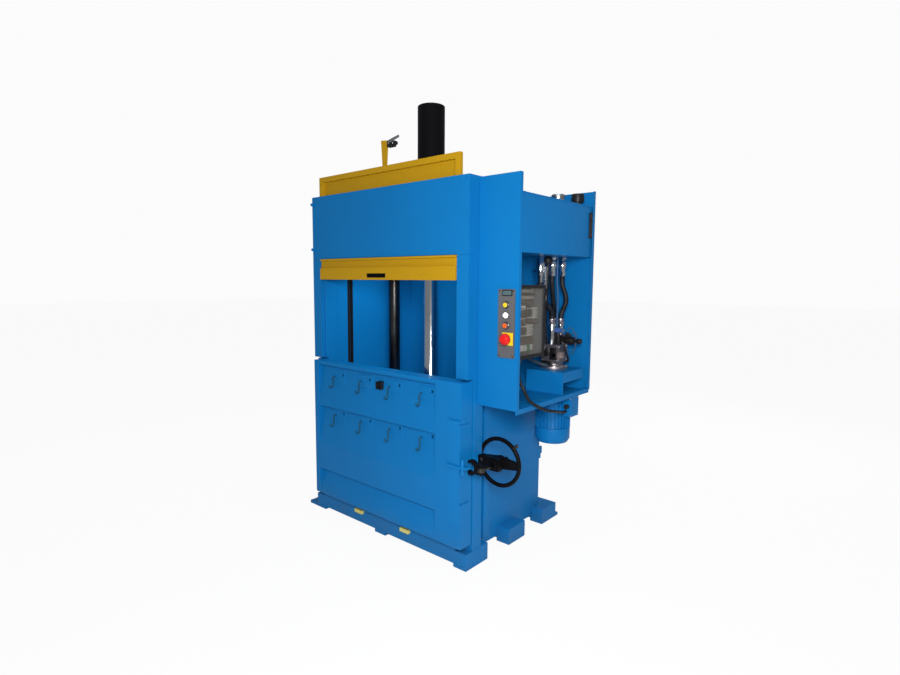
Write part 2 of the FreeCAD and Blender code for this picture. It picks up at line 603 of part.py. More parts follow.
def gate():
    """Folded sheet pan with a recessed web, a raised rim and a proud lower rail."""
    full = (f"0 - {GATE_HALF}", GATE_HALF)
    skin = "0 - gate_sheet"
    rail_x = (f"0 - ({POST_IN} - gate_rail_gap)", f"({POST_IN} - gate_rail_gap)")
    rail_y = (less(GATE_Y[0], "gate_rail_proud"), GATE_Y[1])
    rail_top = f"({GATE_Z} + gate_rail)"
    web_low = f"({rail_top} + gate_band)"
    pan = block("gate_pan", full, GATE_Y, (GATE_Z, GATE_TOP))
    recess = block("gate_recess", grown(full, "0 - gate_rim"),
                   (less(GATE_Y[0], CLEAR), less(GATE_Y[1], "gate_sheet")),
                   (web_low, less(GATE_TOP, "gate_rim")))
    rail = block("gate_rail", rail_x, rail_y, (GATE_Z, rail_top))
    rail_void = block("gate_rail_void", grown(rail_x, skin), grown(rail_y, skin),
                      (less(GATE_Z, CLEAR), less(rail_top, "gate_sheet")))
    lip_z = from_high(less(HEADER_Z, "gate_lip_gap"), "gate_lip")
    lip = block("gate_lip", rail_x, (rail_y[0], GATE_Y[0]), lip_z)
    handle_x = around("handle_centre", "handle_length / 2")
    handle_z = from_low(add(GATE_Z, "handle_rise"), "handle_height")
    handle_y = from_low(rail_y[0], "handle_depth")
    mouth = block("gate_mouth", handle_x, (less(rail_y[0], CLEAR), handle_y[1]), handle_z)
    node(cut("gate_panel", join("gate_folded", pan, rail, lip), recess, rail_void, mouth))
    cup = block("handle_cup", handle_x, handle_y, handle_z)
    scoop_y = (less(handle_y[0], CLEAR), less(handle_y[1], "handle_rim"))
    scoop = block("handle_scoop", grown(handle_x, "0 - handle_rim"), scoop_y,
                  grown(handle_z, "0 - handle_rim"))
    node(cut("gate_handle", cup, scoop))


def limit_switch():
    """Switch on a tapered plate that stands on the gate; its lever meets the header's stop."""
    top = f"({GATE_TOP} + switch_rise)"
    plate_y = from_high(GATE_Y[1], "switch_plate")
    right = "(switch_x + switch_arm)"
    node(pad("switch_bracket", "XZ", [
        ("switch_x - switch_foot", GATE_TOP),
        (add("switch_x", "switch_foot"), GATE_TOP),
        (right, top),
        (less("switch_x", "switch_arm"), add(top, "switch_drop")),
    ], plate_y))
    case_x = from_low(right, "case_length")
    case_y = from_high(add(GATE_Y[1], "case_depth / 2"), "case_depth")
    case_z = from_high(less(top, "switch_drop"), "case_height")
    pivot = (add(right, "lever_width"), less(top, "lever_width"))
    lever_y = from_high(less(case_y[0], "switch_gap"), "lever_thick")
    case = block("switch_case", case_x, case_y, case_z)
    nose = bar("switch_nose", "X", (less(case_y[1], "case_depth / 2"), less(case_z[1], "case_height / 2")),
               "case_height / 3", (case_x[1], add(case_x[1], "case_height / 2")))
    shaft = bar("switch_shaft", "Y", pivot, "lever_pivot", (less(lever_y[0], CLEAR), case_y[0]))
    node(join("limit_switch", case, nose, shaft))
    arm = pad("lever_arm", "XZ", [
        (less(pivot[0], "lever_width / 2"), less(pivot[1], "lever_width / 2")),
        (add(pivot[0], "lever_width / 2"), less(pivot[1], "lever_width / 2")),
        (add(pivot[0], "lever_reach"), add(pivot[1], "lever_rise - lever_width")),
        (add(pivot[0], "lever_reach - lever_pivot"), add(pivot[1], "lever_rise")),
        (less(pivot[0], "lever_width / 2"), add(pivot[1], "lever_width / 2")),
    ], lever_y)
    bore = bar("lever_bore", "Y", pivot, "lever_pivot + run_gap", grown(lever_y, CLEAR))
    node(cut("switch_lever", arm, bore))


# ---------------------------------------------------------------- door

def panel_y(z, fold, height):
    """Y of a slanted panel's front face at a height z."""
    return add(DOOR_Y[0], f"door_recess * (({z}) - ({fold})) / ({height})")


def door():
    face, deep = DOOR_Y[0], add(DOOR_Y[0], "door_recess")
    face_in, deep_in = add(face, "door_sheet"), add(deep, "door_sheet")
    rail = less(DOOR_TOP, "door_rail")
    foot = "door_bottom + door_rail"
    folds = pad("door_folds", "YZ", [
        (deep, rail), (face, FOLD_UPPER), (deep, FOLD_UPPER), (face, FOLD_MIDDLE),
        (face, FOLD_LOWER), (deep, FOLD_LOWER), (face, foot), (face, "door_bottom"),
        (face_in, "door_bottom"), (face_in, foot), (deep_in, add(FOLD_LOWER, "door_sheet")),
        (face_in, add(FOLD_LOWER, "door_sheet")), (face_in, FOLD_MIDDLE),
        (deep_in, add(FOLD_UPPER, "door_sheet")), (face_in, add(FOLD_UPPER, "door_sheet")), (deep_in, rail),
    ], (add(DOOR_X[0], "stile_left"), less(DOOR_X[1], "stile_right")))
    height = ("door_bottom", rail)
    pieces = [
        folds,
        block("door_back", DOOR_X, from_high(DOOR_Y[1], "door_sheet"), ("door_bottom", DOOR_TOP)),
        block("door_top", DOOR_X, DOOR_Y, (rail, DOOR_TOP)),
        tube("stile_hinge", from_low(DOOR_X[0], "stile_left"), DOOR_Y, height, "door_sheet"),
        tube("stile_latch", from_high(DOOR_X[1], "stile_right"), DOOR_Y, height, "door_sheet"),
    ]
    holes = [block("sight_hole", around("sight_x", "sight_width / 2"), grown(DOOR_Y, CLEAR),
                   from_high(less(DOOR_TOP, "sight_drop"), "sight_height"))]
    for row, fold, panel in (("upper", FOLD_UPPER, "panel_upper"), ("lower", FOLD_MIDDLE, "panel_middle")):
        low, high = from_low(add(fold, "station_low + station_rise"), "station_height")
        for k in range(4):
            x = f"(hook_first + {k} * hook_pitch)"
            pieces.append(pad(f"station_{row}_{k}", "YZ", [
                (less(panel_y(low, fold, panel), "station_proud"), low),
                (less(panel_y(high, fold, panel), "station_proud"), high),
                (add(panel_y(high, fold, panel), "door_sheet / 2"), high),
                (add(panel_y(low, fold, panel), "door_sheet / 2"), low),
            ], from_low(less(x, "station_edge"), "station_width")))
            holes.append(bar(f"feed_{row}_{k}", "Y", (add(x, "feed_shift"), add(low, "feed_rise")),
                             "feed_hole", grown(DOOR_Y, CLEAR)))
    node(cut("door_shell", join("door_welded", *pieces), *holes))


def strap_hooks():
    """Bent-rod hooks for the baling straps, one on each station of the door."""
    hooks = []
    face = D.door_proud + D.frame_front
    fold_upper = D.door_bottom + D.door_height - D.door_rail - D.panel_upper
    for fold, panel in ((fold_upper, D.panel_upper), (fold_upper - D.panel_middle, D.panel_middle)):
        top = fold + D.station_low + D.hook_height
        low = fold + D.station_low + D.hook_wire
        slope = D.door_recess / panel
        wall = slope * (top - D.hook_wire - fold) - D.station_proud - face
        for k in range(4):
            x = D.hook_first + k * D.hook_pitch
            y = slope * (low - fold) - face - D.station_proud - 2 * D.hook_wire
            points = [(x, wall, top), (x, y, top), (x, y, low), (x, y - D.hook_reach, low),
                      (x, y - D.hook_reach, low + D.hook_tip)]
            hooks.append(bent_bar(points, D.hook_wire, D.hook_bend))
    node(feature("strap_hooks", Part.makeCompound(hooks)))


def latch_bar():
    """Pressed bar on the door's free edge, with the lug and pin that the claw takes."""
    y = from_high(DOOR_Y[0], "bar_thick")
    edge = DOOR_X[1]
    x = from_high(edge, "bar_width")
    mid = LATCH_Z
    pieces = [
        block("bar_plate", x, y, ("door_bottom + bar_low", "door_bottom + bar_high")),
        block("bar_rib", x, from_high(y[0], "bar_thick"), around(mid, "lug_half")),
        block("bar_lug", from_low(edge, "lug_length"), (y[0], add(DOOR_Y[0], "lug_depth")),
              around(mid, "lug_half")),
        bar("lock_pin", "Z", (add(edge, "lock_pin_x"), DOOR_Y[0]), "lock_pin", around(mid, "lock_pin_half")),
    ]
    for k, low in enumerate(("strap_low", "strap_high")):
        pieces.append(block(f"bar_strap_{k}", from_low(edge, "strap_thick"), from_low(y[0], "strap_length"),
                            from_low(add("door_bottom", low), "strap_height")))
    node(join("latch_bar", *pieces))


def hinges():
    """Lift-off hinges: the lower halves and their pins on the post, the upper halves on the door."""
    x, y = HINGE
    bar_y = add(y, "barrel_radius + hinge_clear")
    pitch = "((door_height - hinge_low - hinge_high - barrel_height) / 4)"
    sockets = [block("hinge_bar", from_low("0 - half_width", "hinge_bar"), (bar_y, POST_Y[0]),
                     ("floor_top", DOOR_TOP))]
    knuckles = []
    for k in range(5):
        low = f"(door_bottom + hinge_low + {k} * {pitch})"
        middle = add(low, "barrel_height / 2")
        high = add(low, "barrel_height")
        upper_low = add(middle, "hinge_split")
        lower = join(f"socket_{k}_blank",
                     bar(f"socket_{k}_barrel", "Z", HINGE, "barrel_radius", (low, middle)),
                     block(f"socket_{k}_web", around(x, "hinge_pin"), (y, bar_y), (low, middle)))
        drill = bar(f"socket_{k}_drill", "Z", HINGE, "hinge_pin", (add(low, "hinge_low"), add(middle, CLEAR)))
        pin_z = (add(low, "hinge_low"), less(high, "hinge_low"))
        pin = bar(f"socket_{k}_pin", "Z", HINGE, "hinge_pin", pin_z)
        sockets += [cut(f"socket_{k}", lower, drill), pin]
        upper = join(f"knuckle_{k}_blank",
                     bar(f"knuckle_{k}_barrel", "Z", HINGE, "barrel_radius", (upper_low, high)),
                     block(f"knuckle_{k}_web", (x, DOOR_X[0]), around(y, "hinge_pin"), (upper_low, high)))
        bore = bar(f"knuckle_{k}_bore", "Z", HINGE, "hinge_pin + run_gap", (middle, add(high, CLEAR)))
        knuckles.append(cut(f"knuckle_{k}", upper, bore))
    node(group("hinge_sockets", *sockets))
    node(group("hinge_knuckles", *knuckles))


# ---------------------------------------------------------------- door latch

def latch_bracket():
    y = from_high(less(WHEEL_Y, "hub_half + collar_gap"), "bracket_thick")
    arm = block("bracket_arm", ("half_width", add(LATCH_X, "bracket_half")), y,
                around(LATCH_Z, "bracket_half"))
    low = less(LATCH_Z, "bracket_half")
    gusset = pad("bracket_gusset", "XZ", [
        ("half_width", low), ("half_width", less(low, "bracket_gusset")), (less(LATCH_X, "neck_radius"), low),
    ], around(less(y[1], "bracket_thick / 2"), "gusset_thick / 2"))
    bore = bar("bracket_bore", "Y", (LATCH_X, LATCH_Z), "neck_radius + run_gap", grown(y, CLEAR))
    node(cut("latch_bracket", join("bracket_welded", arm, gusset), bore))
    return y


def handwheel(bracket_y):
    """Wheel whose threaded neck turns in the bracket and draws the spindle."""
    centre = (LATCH_X, LATCH_Z)
    front = less(bracket_y[0], "collar_gap")
    rim = doc.addObject("Part::Torus", "wheel_rim")
    rim.Placement = Placement(Vector(), ALONG["Y"])
    bind(rim, "Radius1", "wheel_radius")
    bind(rim, "Radius2", "wheel_tube")
    place(rim, LATCH_X, WHEEL_Y, LATCH_Z)
    pieces = [
        rim,
        bar("wheel_hub", "Y", centre, "wheel_hub", around(WHEEL_Y, "hub_half")),
        bar("wheel_neck", "Y", centre, "neck_radius", (less(front, "collar_thick"), WHEEL_Y)),
        bar("wheel_collar", "Y", centre, "collar_radius", (less(front, "collar_thick"), front)),
    ]
    for side, sign in zip(SIDES, ("-", "+")):
        outer = f"{LATCH_X} {sign} wheel_radius"
        pieces.append(pad(f"wheel_spoke_{side}", "XZ", [
            (LATCH_X, less(LATCH_Z, "spoke_inner / 2")), (outer, less(LATCH_Z, "spoke_outer / 2")),
            (outer, add(LATCH_Z, "spoke_outer / 2")), (LATCH_X, add(LATCH_Z, "spoke_inner / 2")),
        ], around(WHEEL_Y, "spoke_thick / 2")))
    bore = bar("wheel_bore", "Y", centre, "spindle_radius + run_gap",
               (less(front, "collar_thick + latch_travel"), add(WHEEL_Y, "latch_travel")))
    node(cut("handwheel", join("wheel_turned", *pieces), bore))


def spindle_and_claw():
    y = behind("0 - claw_setback")
    axis = (LATCH_X, y)
    stem = bar("spindle_stem", "Y", (LATCH_X, LATCH_Z), "spindle_radius",
               (add(y, "eye_half"), add(WHEEL_Y, "latch_travel + hub_half")))
    eye = bar("spindle_eye", "Z", axis, "eye_radius", around(LATCH_Z, "eye_half"))
    drill = bar("spindle_drill", "Z", axis, "claw_pin + run_gap", grown(around(LATCH_Z, "eye_half"), CLEAR))
    past = (grown(around(LATCH_X, "eye_radius"), CLEAR), grown(around(y, "eye_radius"), CLEAR))
    flat = block("spindle_flat", *past, (add(LATCH_Z, "eye_half"), add(LATCH_Z, "eye_radius")))
    under = block("spindle_under", *past, (less(LATCH_Z, "eye_radius"), less(LATCH_Z, "eye_half")))
    node(cut("latch_spindle", join("spindle_welded", stem, eye), drill, flat, under))

    centre = less(LATCH_X, "eye_radius + claw_spine + claw_inner - claw_nest")
    thick = around(y, "claw_depth / 2")
    ring = bar("claw_ring", "Y", (centre, LATCH_Z), "claw_outer", thick)
    throat = bar("claw_throat", "Y", (centre, LATCH_Z), "claw_inner", grown(thick, CLEAR))
    mouth = block("claw_mouth", (less(centre, "claw_outer", CLEAR), less(centre, "claw_mouth")),
                  grown(thick, CLEAR), around(LATCH_Z, "claw_outer"))
    shape = cut("claw_c", ring, throat, mouth)
    spine_x = add(centre, "claw_inner")
    levels = (from_low(add(LATCH_Z, "eye_half + cheek_gap"), "cheek_thick"),
              from_high(less(LATCH_Z, "eye_half + cheek_gap"), "cheek_thick"))
    cheeks = []
    for k, z in enumerate(levels):
        cheeks.append(block(f"claw_cheek_{k}", (spine_x, LATCH_X), thick, z))
        cheeks.append(bar(f"claw_ear_{k}", "Z", axis, "claw_depth / 2", z))
    pin_z = around(LATCH_Z, "eye_half + cheek_gap + cheek_thick + pin_proud")
    pin = bar("claw_pin", "Z", axis, "claw_pin", pin_z)
    node(join("latch_claw", shape, pin, *cheeks))


# ---------------------------------------------------------------- wings, shelf and tank

def wings():
    z = (WING_Z, WING_TOP)
    edge = from_high(WING_X, "wing_sheet")
    node(join("wing_front",
              block("wing_front_sheet", ("half_width", WING_X), WING_FRONT, z),
              block("wing_front_rim", edge, from_low(WING_FRONT[0], "wing_rim"), z)))
    node(join("wing_rear",
              block("wing_rear_sheet", (WALL_OUT, WING_X), WING_REAR, z),
              block("wing_rear_flange", from_low(WALL_OUT, "wing_sheet"),
                    from_high(WING_REAR[1], "wing_flange"), z),
              block("wing_rear_rim", edge, from_high(WING_REAR[1], "wing_rim"), z)))
    inner = (BAY_X[0], edge[0])
    hole = bar("shelf_hole", "Z", MOTOR, "shelf_hole", grown((WING_Z, SHELF_TOP), CLEAR))
    notch = block("shelf_notch", (less(inner[0], CLEAR), "half_width"), (less(BAY_Y[0], CLEAR), POST_Y[1]),
                  grown((WING_Z, SHELF_TOP), CLEAR))
    lip = block("shelf_edge", from_high(edge[0], "shelf_thick"), BAY_Y, from_high(WING_Z, "shelf_lip"))
    node(cut("unit_shelf", join("shelf_folded", block("shelf_sheet", inner, BAY_Y, (WING_Z, SHELF_TOP)), lip),
             hole, notch))


def tank():
    lid_x = ("half_width", add(BAY_X[1], "wing_sheet"))
    tub_x = ("half_width", BAY_X[1])
    node(join("oil_tank",
              block("tank_tub", tub_x, BAY_Y, (TANK_Z, less(TANK_TOP, "tank_lid"))),
              block("tank_cover", lid_x, BAY_Y, from_high(TANK_TOP, "tank_lid"))))
    top = add(TANK_TOP, "filler_height")
    node(turned("filler_cap", "Z", (f"{WING_X} - filler_x", behind("filler_setback")), [
        ("0", TANK_TOP),
        ("filler_radius + filler_rim", TANK_TOP),
        ("filler_radius + filler_rim", add(TANK_TOP, "filler_rim")),
        ("filler_radius - filler_neck", add(TANK_TOP, "filler_rim")),
        ("filler_radius - filler_neck", less(top, "filler_lid")),
        ("filler_radius", less(top, "filler_lid")),
        ("filler_radius", less(top, "cap_chamfer")),
        ("filler_radius - cap_chamfer", top),
        ("0", top),
    ]))
    top = add(TANK_TOP, "breather_height")
    node(turned("breather_cap", "Z", (f"{WING_X} - breather_x", behind("breather_setback")), [
        ("0", TANK_TOP),
        ("breather_radius - breather_neck", TANK_TOP),
        ("breather_radius - breather_neck", add(TANK_TOP, "breather_rise")),
        ("breather_radius", add(TANK_TOP, "breather_rise")),
        ("breather_radius", less(top, "cap_chamfer")),
        ("breather_radius - cap_chamfer", top),
        ("0", top),
    ]))
    middle = less(BAY_Y[1], "gauge_inset")
    y = around(middle, "gauge_width / 2")
    z = from_high(less(TANK_TOP, "gauge_drop"), "gauge_length")
    x = from_low(BAY_X[1], "gauge_depth")
    slot = block("gauge_slot", (less(x[1], "gauge_depth / 2"), add(x[1], CLEAR)),
                 around(middle, "gauge_window / 2"), grown(z, "0 - gauge_width"))
    node(cut("level_gauge", block("gauge_body", x, y, z), slot))


# ---------------------------------------------------------------- hydraulic unit

def plinth():
    """Folded stand for the pump, open low on its outer side, with the bell over the motor's shaft."""
    x = from_high(f"{WING_X} - plinth_side", "plinth_width")
    y = from_low(behind("plinth_front"), "plinth_depth")
    sheet = "0 - plinth_sheet"
    skin = block("plinth_skin", x, y, (SHELF_TOP, PLINTH_TOP))
    void = block("plinth_void", grown(x, sheet), grown(y, sheet),
                 (less(SHELF_TOP, CLEAR), less(PLINTH_TOP, "plinth_sheet")))
    window = block("plinth_window", (less(x[1], "plinth_sheet", CLEAR), add(x[1], CLEAR)), grown(y, sheet),
                   (less(SHELF_TOP, CLEAR), less(PLINTH_TOP, "plinth_skirt")))
    bell = bar("plinth_bell", "Z", MOTOR, "bell_radius", (SHELF_TOP, PLINTH_TOP))
    node(join("pump_plinth", cut("plinth_folded", skin, void, window), bell))


def valve_block():
    """Pump flange, bored manifold and valve plates stacked over the motor's axis."""
    x, y = MOTOR
    rim = add(PLINTH_TOP, "flange_rim")
    flange = turned("pump_flange", "Z", MOTOR, [
        ("0", PLINTH_TOP), ("flange_radius", PLINTH_TOP), ("flange_radius", rim),
        ("flange_neck", rim), ("flange_neck", BLOCK_Z), ("0", BLOCK_Z),
    ])
    block_x, block_y = around(x, "block_half"), around(y, "block_half")
    manifold = block("manifold", block_x, block_y, (BLOCK_Z, STACK_Z))
    relief = block("manifold_relief", (less(block_x[1], "relief_depth"), add(block_x[1], CLEAR)),
                   (less(block_y[0], CLEAR), less(block_y[1], "relief_rest")),
                   (add(BLOCK_Z, "relief_depth"), less(STACK_Z, "relief_rest")))
    stack = block("valve_stack", around(x, "stack_half"), (less(y, "stack_front"), block_y[1]),
                  from_low(STACK_Z, "stack_height"))
    node(join("valve_block", flange, cut("manifold_cut", manifold, relief), stack))
    coil_y = add(y, "block_half / 2")
    coil_z = add(STACK_Z, "coil_radius")
    start = add(x, "stack_half")
    stop = add(start, "coil_length")
    coil = bar("solenoid_coil", "X", (coil_y, coil_z), "coil_radius", (start, stop))
    stem = bar("solenoid_stem", "X", (coil_y, coil_z), "knob_radius / 2", (stop, add(stop, "knob_length")))
    knob = bar("solenoid_knob", "X", (coil_y, coil_z), "knob_radius",
               from_low(add(stop, "knob_length"), "knob_length"))
    node(join("solenoid_valve", coil, stem, knob))


def suction_valve():
    centre = (add(MOTOR[0], "suction_shift"), behind("suction_setback"))
    drum_z = from_high(less(TANK_Z, "nut_height"), "valve_height")
    pivot_z = less(drum_z[1], "valve_height / 2")
    lever_x = from_low(add(centre[0], "valve_radius + valve_stub"), "lever_thick")
    stub_x = (centre[0], add(lever_x[1], "lever_pivot"))
    pieces = [
        bar("suction_drum", "Z", centre, "valve_radius", drum_z),
        bar("suction_nut_top", "Z", centre, "nut_radius", (drum_z[1], TANK_Z)),
        bar("suction_nut_low", "Z", centre, "nut_radius", from_high(drum_z[0], "nut_height")),
        bar("suction_stub", "X", (centre[1], pivot_z), "valve_stub", stub_x),
    ]
    node(join("suction_valve", *pieces))
    grip = block("valve_grip", lever_x, around(centre[1], "valve_lever_width / 2"),
                 (less(pivot_z, "valve_lever"), add(pivot_z, "valve_lever_width / 2 + valve_stub / 2")))
    bore = bar("valve_grip_bore", "X", (centre[1], pivot_z), "valve_stub + run_gap", grown(lever_x, CLEAR))
    node(cut("suction_valve_lever", grip, bore))


def hoses():
    """Hoses from the tank's bottom to the valve block, held at both ends."""
    front = -D.frame_front
    x, y = D.half_width + D.wing_width - D.motor_side, front + D.motor_setback
    tank_z = D.frame_top - D.tank_drop - D.tank_height
    shelf_top = D.frame_top - D.wing_drop - D.wing_height + D.shelf_thick
    manifold_top = shelf_top + D.plinth_height + D.flange_height + D.block_height
    low = manifold_top + D.stack_height + D.port_height
    high = tank_z - D.valve_height - 2 * D.nut_height
    knee = (high + low) / 2
    straight = D.suction_straight * (high - low)
    valve = (x + D.suction_shift, front + D.suction_setback)
    port = (x, y - D.block_half + D.suction_radius + D.nut_wall)
    suction = [(*valve, high), (*valve, knee + straight), (*port, knee - straight), (*port, low)]
    node(feature("suction_hose", bent_bar(suction, D.suction_radius)))
    high = tank_z - D.ferrule_length
    straight = D.hose_straight * (high - low)
    rises = []
    for setback, side, bow in ((D.return_front, -1, 0), (D.return_rear, 1, D.hose_bow * (high - low))):
        union = (x + D.return_shift, front + setback)
        port = (x + side * D.port_spread, y + D.block_half / 2)
        run = [(*union, high), (*union, high - straight)]
        if bow:
            run.append((union[0] + bow, (union[1] + port[1]) / 2 + bow, (high + low) / 2))
        run += [(*port, low + straight), (*port, low)]
        rises.append(bent_bar(run, D.hose_radius))
    node(feature("pressure_hoses", Part.makeCompound(rises)))


def hose_fittings():
    """Chrome ends of the hoses: ports on the valve block and unions under the tank."""
    x, y = MOTOR
    low = f"({STACK_Z} + stack_height)"
    high = add(low, "port_height")
    slim, crimp, collar = "port_radius - nut_wall", "hose_radius + nut_wall", "port_radius + nut_wall"
    made = []
    for k, port_x in enumerate((less(x, "port_spread"), add(x, "port_spread"))):
        made.append(turned(f"port_{k}", "Z", (port_x, add(y, "block_half / 2")), [
            ("0", low),
            ("port_radius", low),
            ("port_radius", add(low, "port_nut")),
            (slim, add(low, "port_nut")),
            (slim, less(high, "port_crimp")),
            (crimp, less(high, "port_crimp")),
            (crimp, high),
            ("0", high),
        ]))
    end = less(TANK_Z, "ferrule_length")
    nut_low = add(end, "union_crimp")
    nut_high = add(nut_low, "union_nut")
    for k, setback in enumerate(("return_front", "return_rear")):
        made.append(turned(f"union_{k}", "Z", (add(x, "return_shift"), behind(setback)), [
            ("0", end),
            (crimp, end),
            (crimp, nut_low),
            (collar, nut_low),
            (collar, nut_high),
            (slim, nut_high),
            (slim, TANK_Z),
            ("0", TANK_Z),
        ]))
    nut = "suction_radius + nut_wall"
    made.append(bar("port_suction", "Z", (x, add(less(y, "block_half"), nut)), nut, (STACK_Z, high)))
    node(group("hose_fittings", *made))


# ---------------------------------------------------------------- motor

def motor():
    """Flange-mounted finned motor that hangs shaft-up under the shelf."""
    spigot = add(COWL_TOP, "spigot_height")
    flange = less(WING_Z, "motor_flange_thick")
    shell = turned("motor_shell_turned", "Z", MOTOR, [
        ("0", COWL_TOP), ("motor_radius - cowl_sheet", COWL_TOP), ("motor_radius - cowl_sheet", spigot),
        ("motor_shell", spigot), ("motor_shell", flange), ("motor_flange", flange), ("motor_flange", WING_Z),
        ("shelf_hole - spigot_gap", WING_Z), ("shelf_hole - spigot_gap", SHELF_TOP), ("0", SHELF_TOP),
    ])
    count = int(D.fin_count)
    fin_z = (spigot, less(flange, "motor_flange_thick"))
    fins = [blade(f"motor_fin_{k}", MOTOR, less("motor_shell", CLEAR),
                  add("motor_radius - motor_shell", CLEAR), "fin_thick", fin_z, 360 * k / count)
            for k in range(count)]
    bore = bar("motor_bore", "Z", MOTOR, "shaft_radius + run_gap", (less(COWL_TOP, CLEAR),
                                                                   add(COWL_TOP, "shaft_depth")))
    node(cut("motor_housing", join("motor_finned", shell, *fins), bore))


def fan():
    """Fan on the motor's shaft, inside a slotted cowl."""
    spigot = add(COWL_TOP, "spigot_height")
    low = less(spigot, "cowl_height")
    wall = "motor_radius - cowl_sheet"
    outer = add(wall, "cowl_wall")
    cowl = turned("cowl_spun", "Z", MOTOR, [
        (wall, spigot), (outer, spigot), (outer, add(low, "cowl_turn")), (less(outer, "cowl_round"), low),
        ("0", low), ("0", add(low, "cowl_wall")), (less(wall, "cowl_round"), add(low, "cowl_wall")),
        (wall, add(low, "cowl_turn + cowl_wall / 2")),
    ])
    count = int(D.cowl_slots)
    slots = [blade(f"cowl_slot_{k}", MOTOR, "fan_hub", "motor_shell - fan_hub - slot_margin", "slot_bar",
                   (less(low, CLEAR), add(low, "cowl_wall", CLEAR)), 360 * k / count) for k in range(count)]
    node(cut("fan_cowl", cowl, *slots))
    fan_z = from_high(less(COWL_TOP, "fan_gap"), "fan_height")
    count = int(D.fan_blades)
    shaft_z = (fan_z[0], less(add(COWL_TOP, "shaft_depth"), "shaft_gap"))
    pieces = [
        bar("fan_hub", "Z", MOTOR, "fan_hub", fan_z),
        bar("fan_shaft", "Z", MOTOR, "shaft_radius", shaft_z),
    ]
    blade_length = "motor_shell - slot_margin - fan_hub + blade_root"
    pieces += [blade(f"fan_blade_{k}", MOTOR, "fan_hub - blade_root", blade_length, "blade_thick",
                     fan_z, 360 * k / count)
               for k in range(count)]
    node(join("motor_fan", *pieces))


def terminal_box():
    x, y = MOTOR
    box_x = (add(x, "motor_shell / 2"), add(x, "motor_radius + terminal_depth"))
    box_y = around(y, "terminal_width / 2")
    box_z = from_high(less(WING_Z, "motor_flange_thick + terminal_drop"), "terminal_height")
    case = block("terminal_case", box_x, box_y, box_z)
    saddle = bar("terminal_saddle", "Z", MOTOR, "motor_radius + terminal_gap", grown(box_z, CLEAR))
    gland = bar("terminal_gland", "Y", (less(box_x[1], "terminal_depth / 2"), add(box_z[0], "gland_rise")),
                "gland_radius", from_high(box_y[0], "gland_reach"))
    node(join("terminal_box", cut("terminal_shell", case, saddle), gland))


def motor_cable():
    """Cable from the gland under the cabinet, out over the shelf's edge and in to the motor."""
    front = -D.frame_front
    wing_x = D.half_width + D.wing_width
    shelf = D.frame_top - D.wing_drop - D.wing_height
    end_x = wing_x - D.motor_side + D.motor_radius + D.terminal_depth / 2
    end_y = front + D.motor_setback - D.terminal_width / 2 - D.gland_reach
    end_z = shelf - D.motor_flange_thick - D.terminal_drop - D.terminal_height + D.gland_rise
    cabinet_z = D.frame_top - D.tank_drop - D.tank_height - D.cabinet_drop - D.cabinet_height
    x, y = wing_x - D.cable_inset, front + D.cable_setback
    outside = wing_x + D.cable_out
    start_z = cabinet_z - D.gland_reach
    step = D.cable_step * (start_z - shelf)
    route = [
        (x, y, start_z),
        (x, y, shelf + 4 * step),
        (x + D.cable_lean, y - D.cable_lean, shelf + 3 * step),
        (wing_x, y - D.cable_lean, shelf + 2 * step),
        (outside, y, shelf + step),
        (outside, y + D.cable_run, shelf),
        (outside, y + 5 * D.cable_run / 2, shelf - step),
        (wing_x, end_y - 2 * D.cable_run, shelf - 3 * step / 2),
        (end_x, end_y - D.cable_run / 2, end_z),
        (end_x, end_y, end_z),
    ]
    node(feature("motor_cable", bent_bar(route, D.cable_radius)))


# ---------------------------------------------------------------- cabinet and control panel

CABINET_X = from_high(f"({WING_X} - tank_inset - cabinet_x)", "cabinet_depth")
CABINET_Y = from_low(WING_FRONT[1], "cabinet_width")
CABINET_Z = from_high(f"({TANK_Z} - cabinet_drop)", "cabinet_height")
CABINET_HINGE = (add(CABINET_X[1], "cabinet_gap + cabinet_door / 2"),
                 add(CABINET_Y[1], "barrel_small + cabinet_gap"))


def hinge_levels():
    """Middle heights of the cabinet door's two hinges."""
    return add(CABINET_Z[0], "barrel_inset"), less(CABINET_Z[1], "barrel_inset")


def cabinet_body():
    """Sheet box on the wing, open at the front, with its hinge pins and the cable's gland."""
    inner = "0 - cabinet_sheet"
    void = block("cabinet_void", (add(CABINET_X[0], "cabinet_sheet"), add(CABINET_X[1], CLEAR)),
                 grown(CABINET_Y, inner), grown(CABINET_Z, inner))
    pieces = [cut("cabinet_tray", block("cabinet_skin", CABINET_X, CABINET_Y, CABINET_Z), void)]
    x, y = CABINET_HINGE
    for k, middle in enumerate(hinge_levels()):
        z = (less(middle, "barrel_length / 2"), less(middle, "hinge_clear"))
        pieces += [
            bar(f"cabinet_barrel_{k}", "Z", CABINET_HINGE, "barrel_small", z),
            bar(f"cabinet_pin_{k}", "Z", CABINET_HINGE, "pin_small",
                (z[0], add(middle, "barrel_length / 2 - pin_small"))),
            block(f"cabinet_leaf_{k}", from_high(CABINET_X[1], "window_rim"),
                  (CABINET_Y[1], add(y, "pin_small")), z),
            block(f"cabinet_web_{k}", (less(CABINET_X[1], CLEAR), x), around(y, "pin_small"), z),
        ]
    pieces.append(bar("cabinet_gland", "Z", (f"{WING_X} - cable_inset", behind("cable_setback")),
                      "gland_radius", from_high(CABINET_Z[0], "gland_reach")))
    node(join("cabinet_body", *pieces))


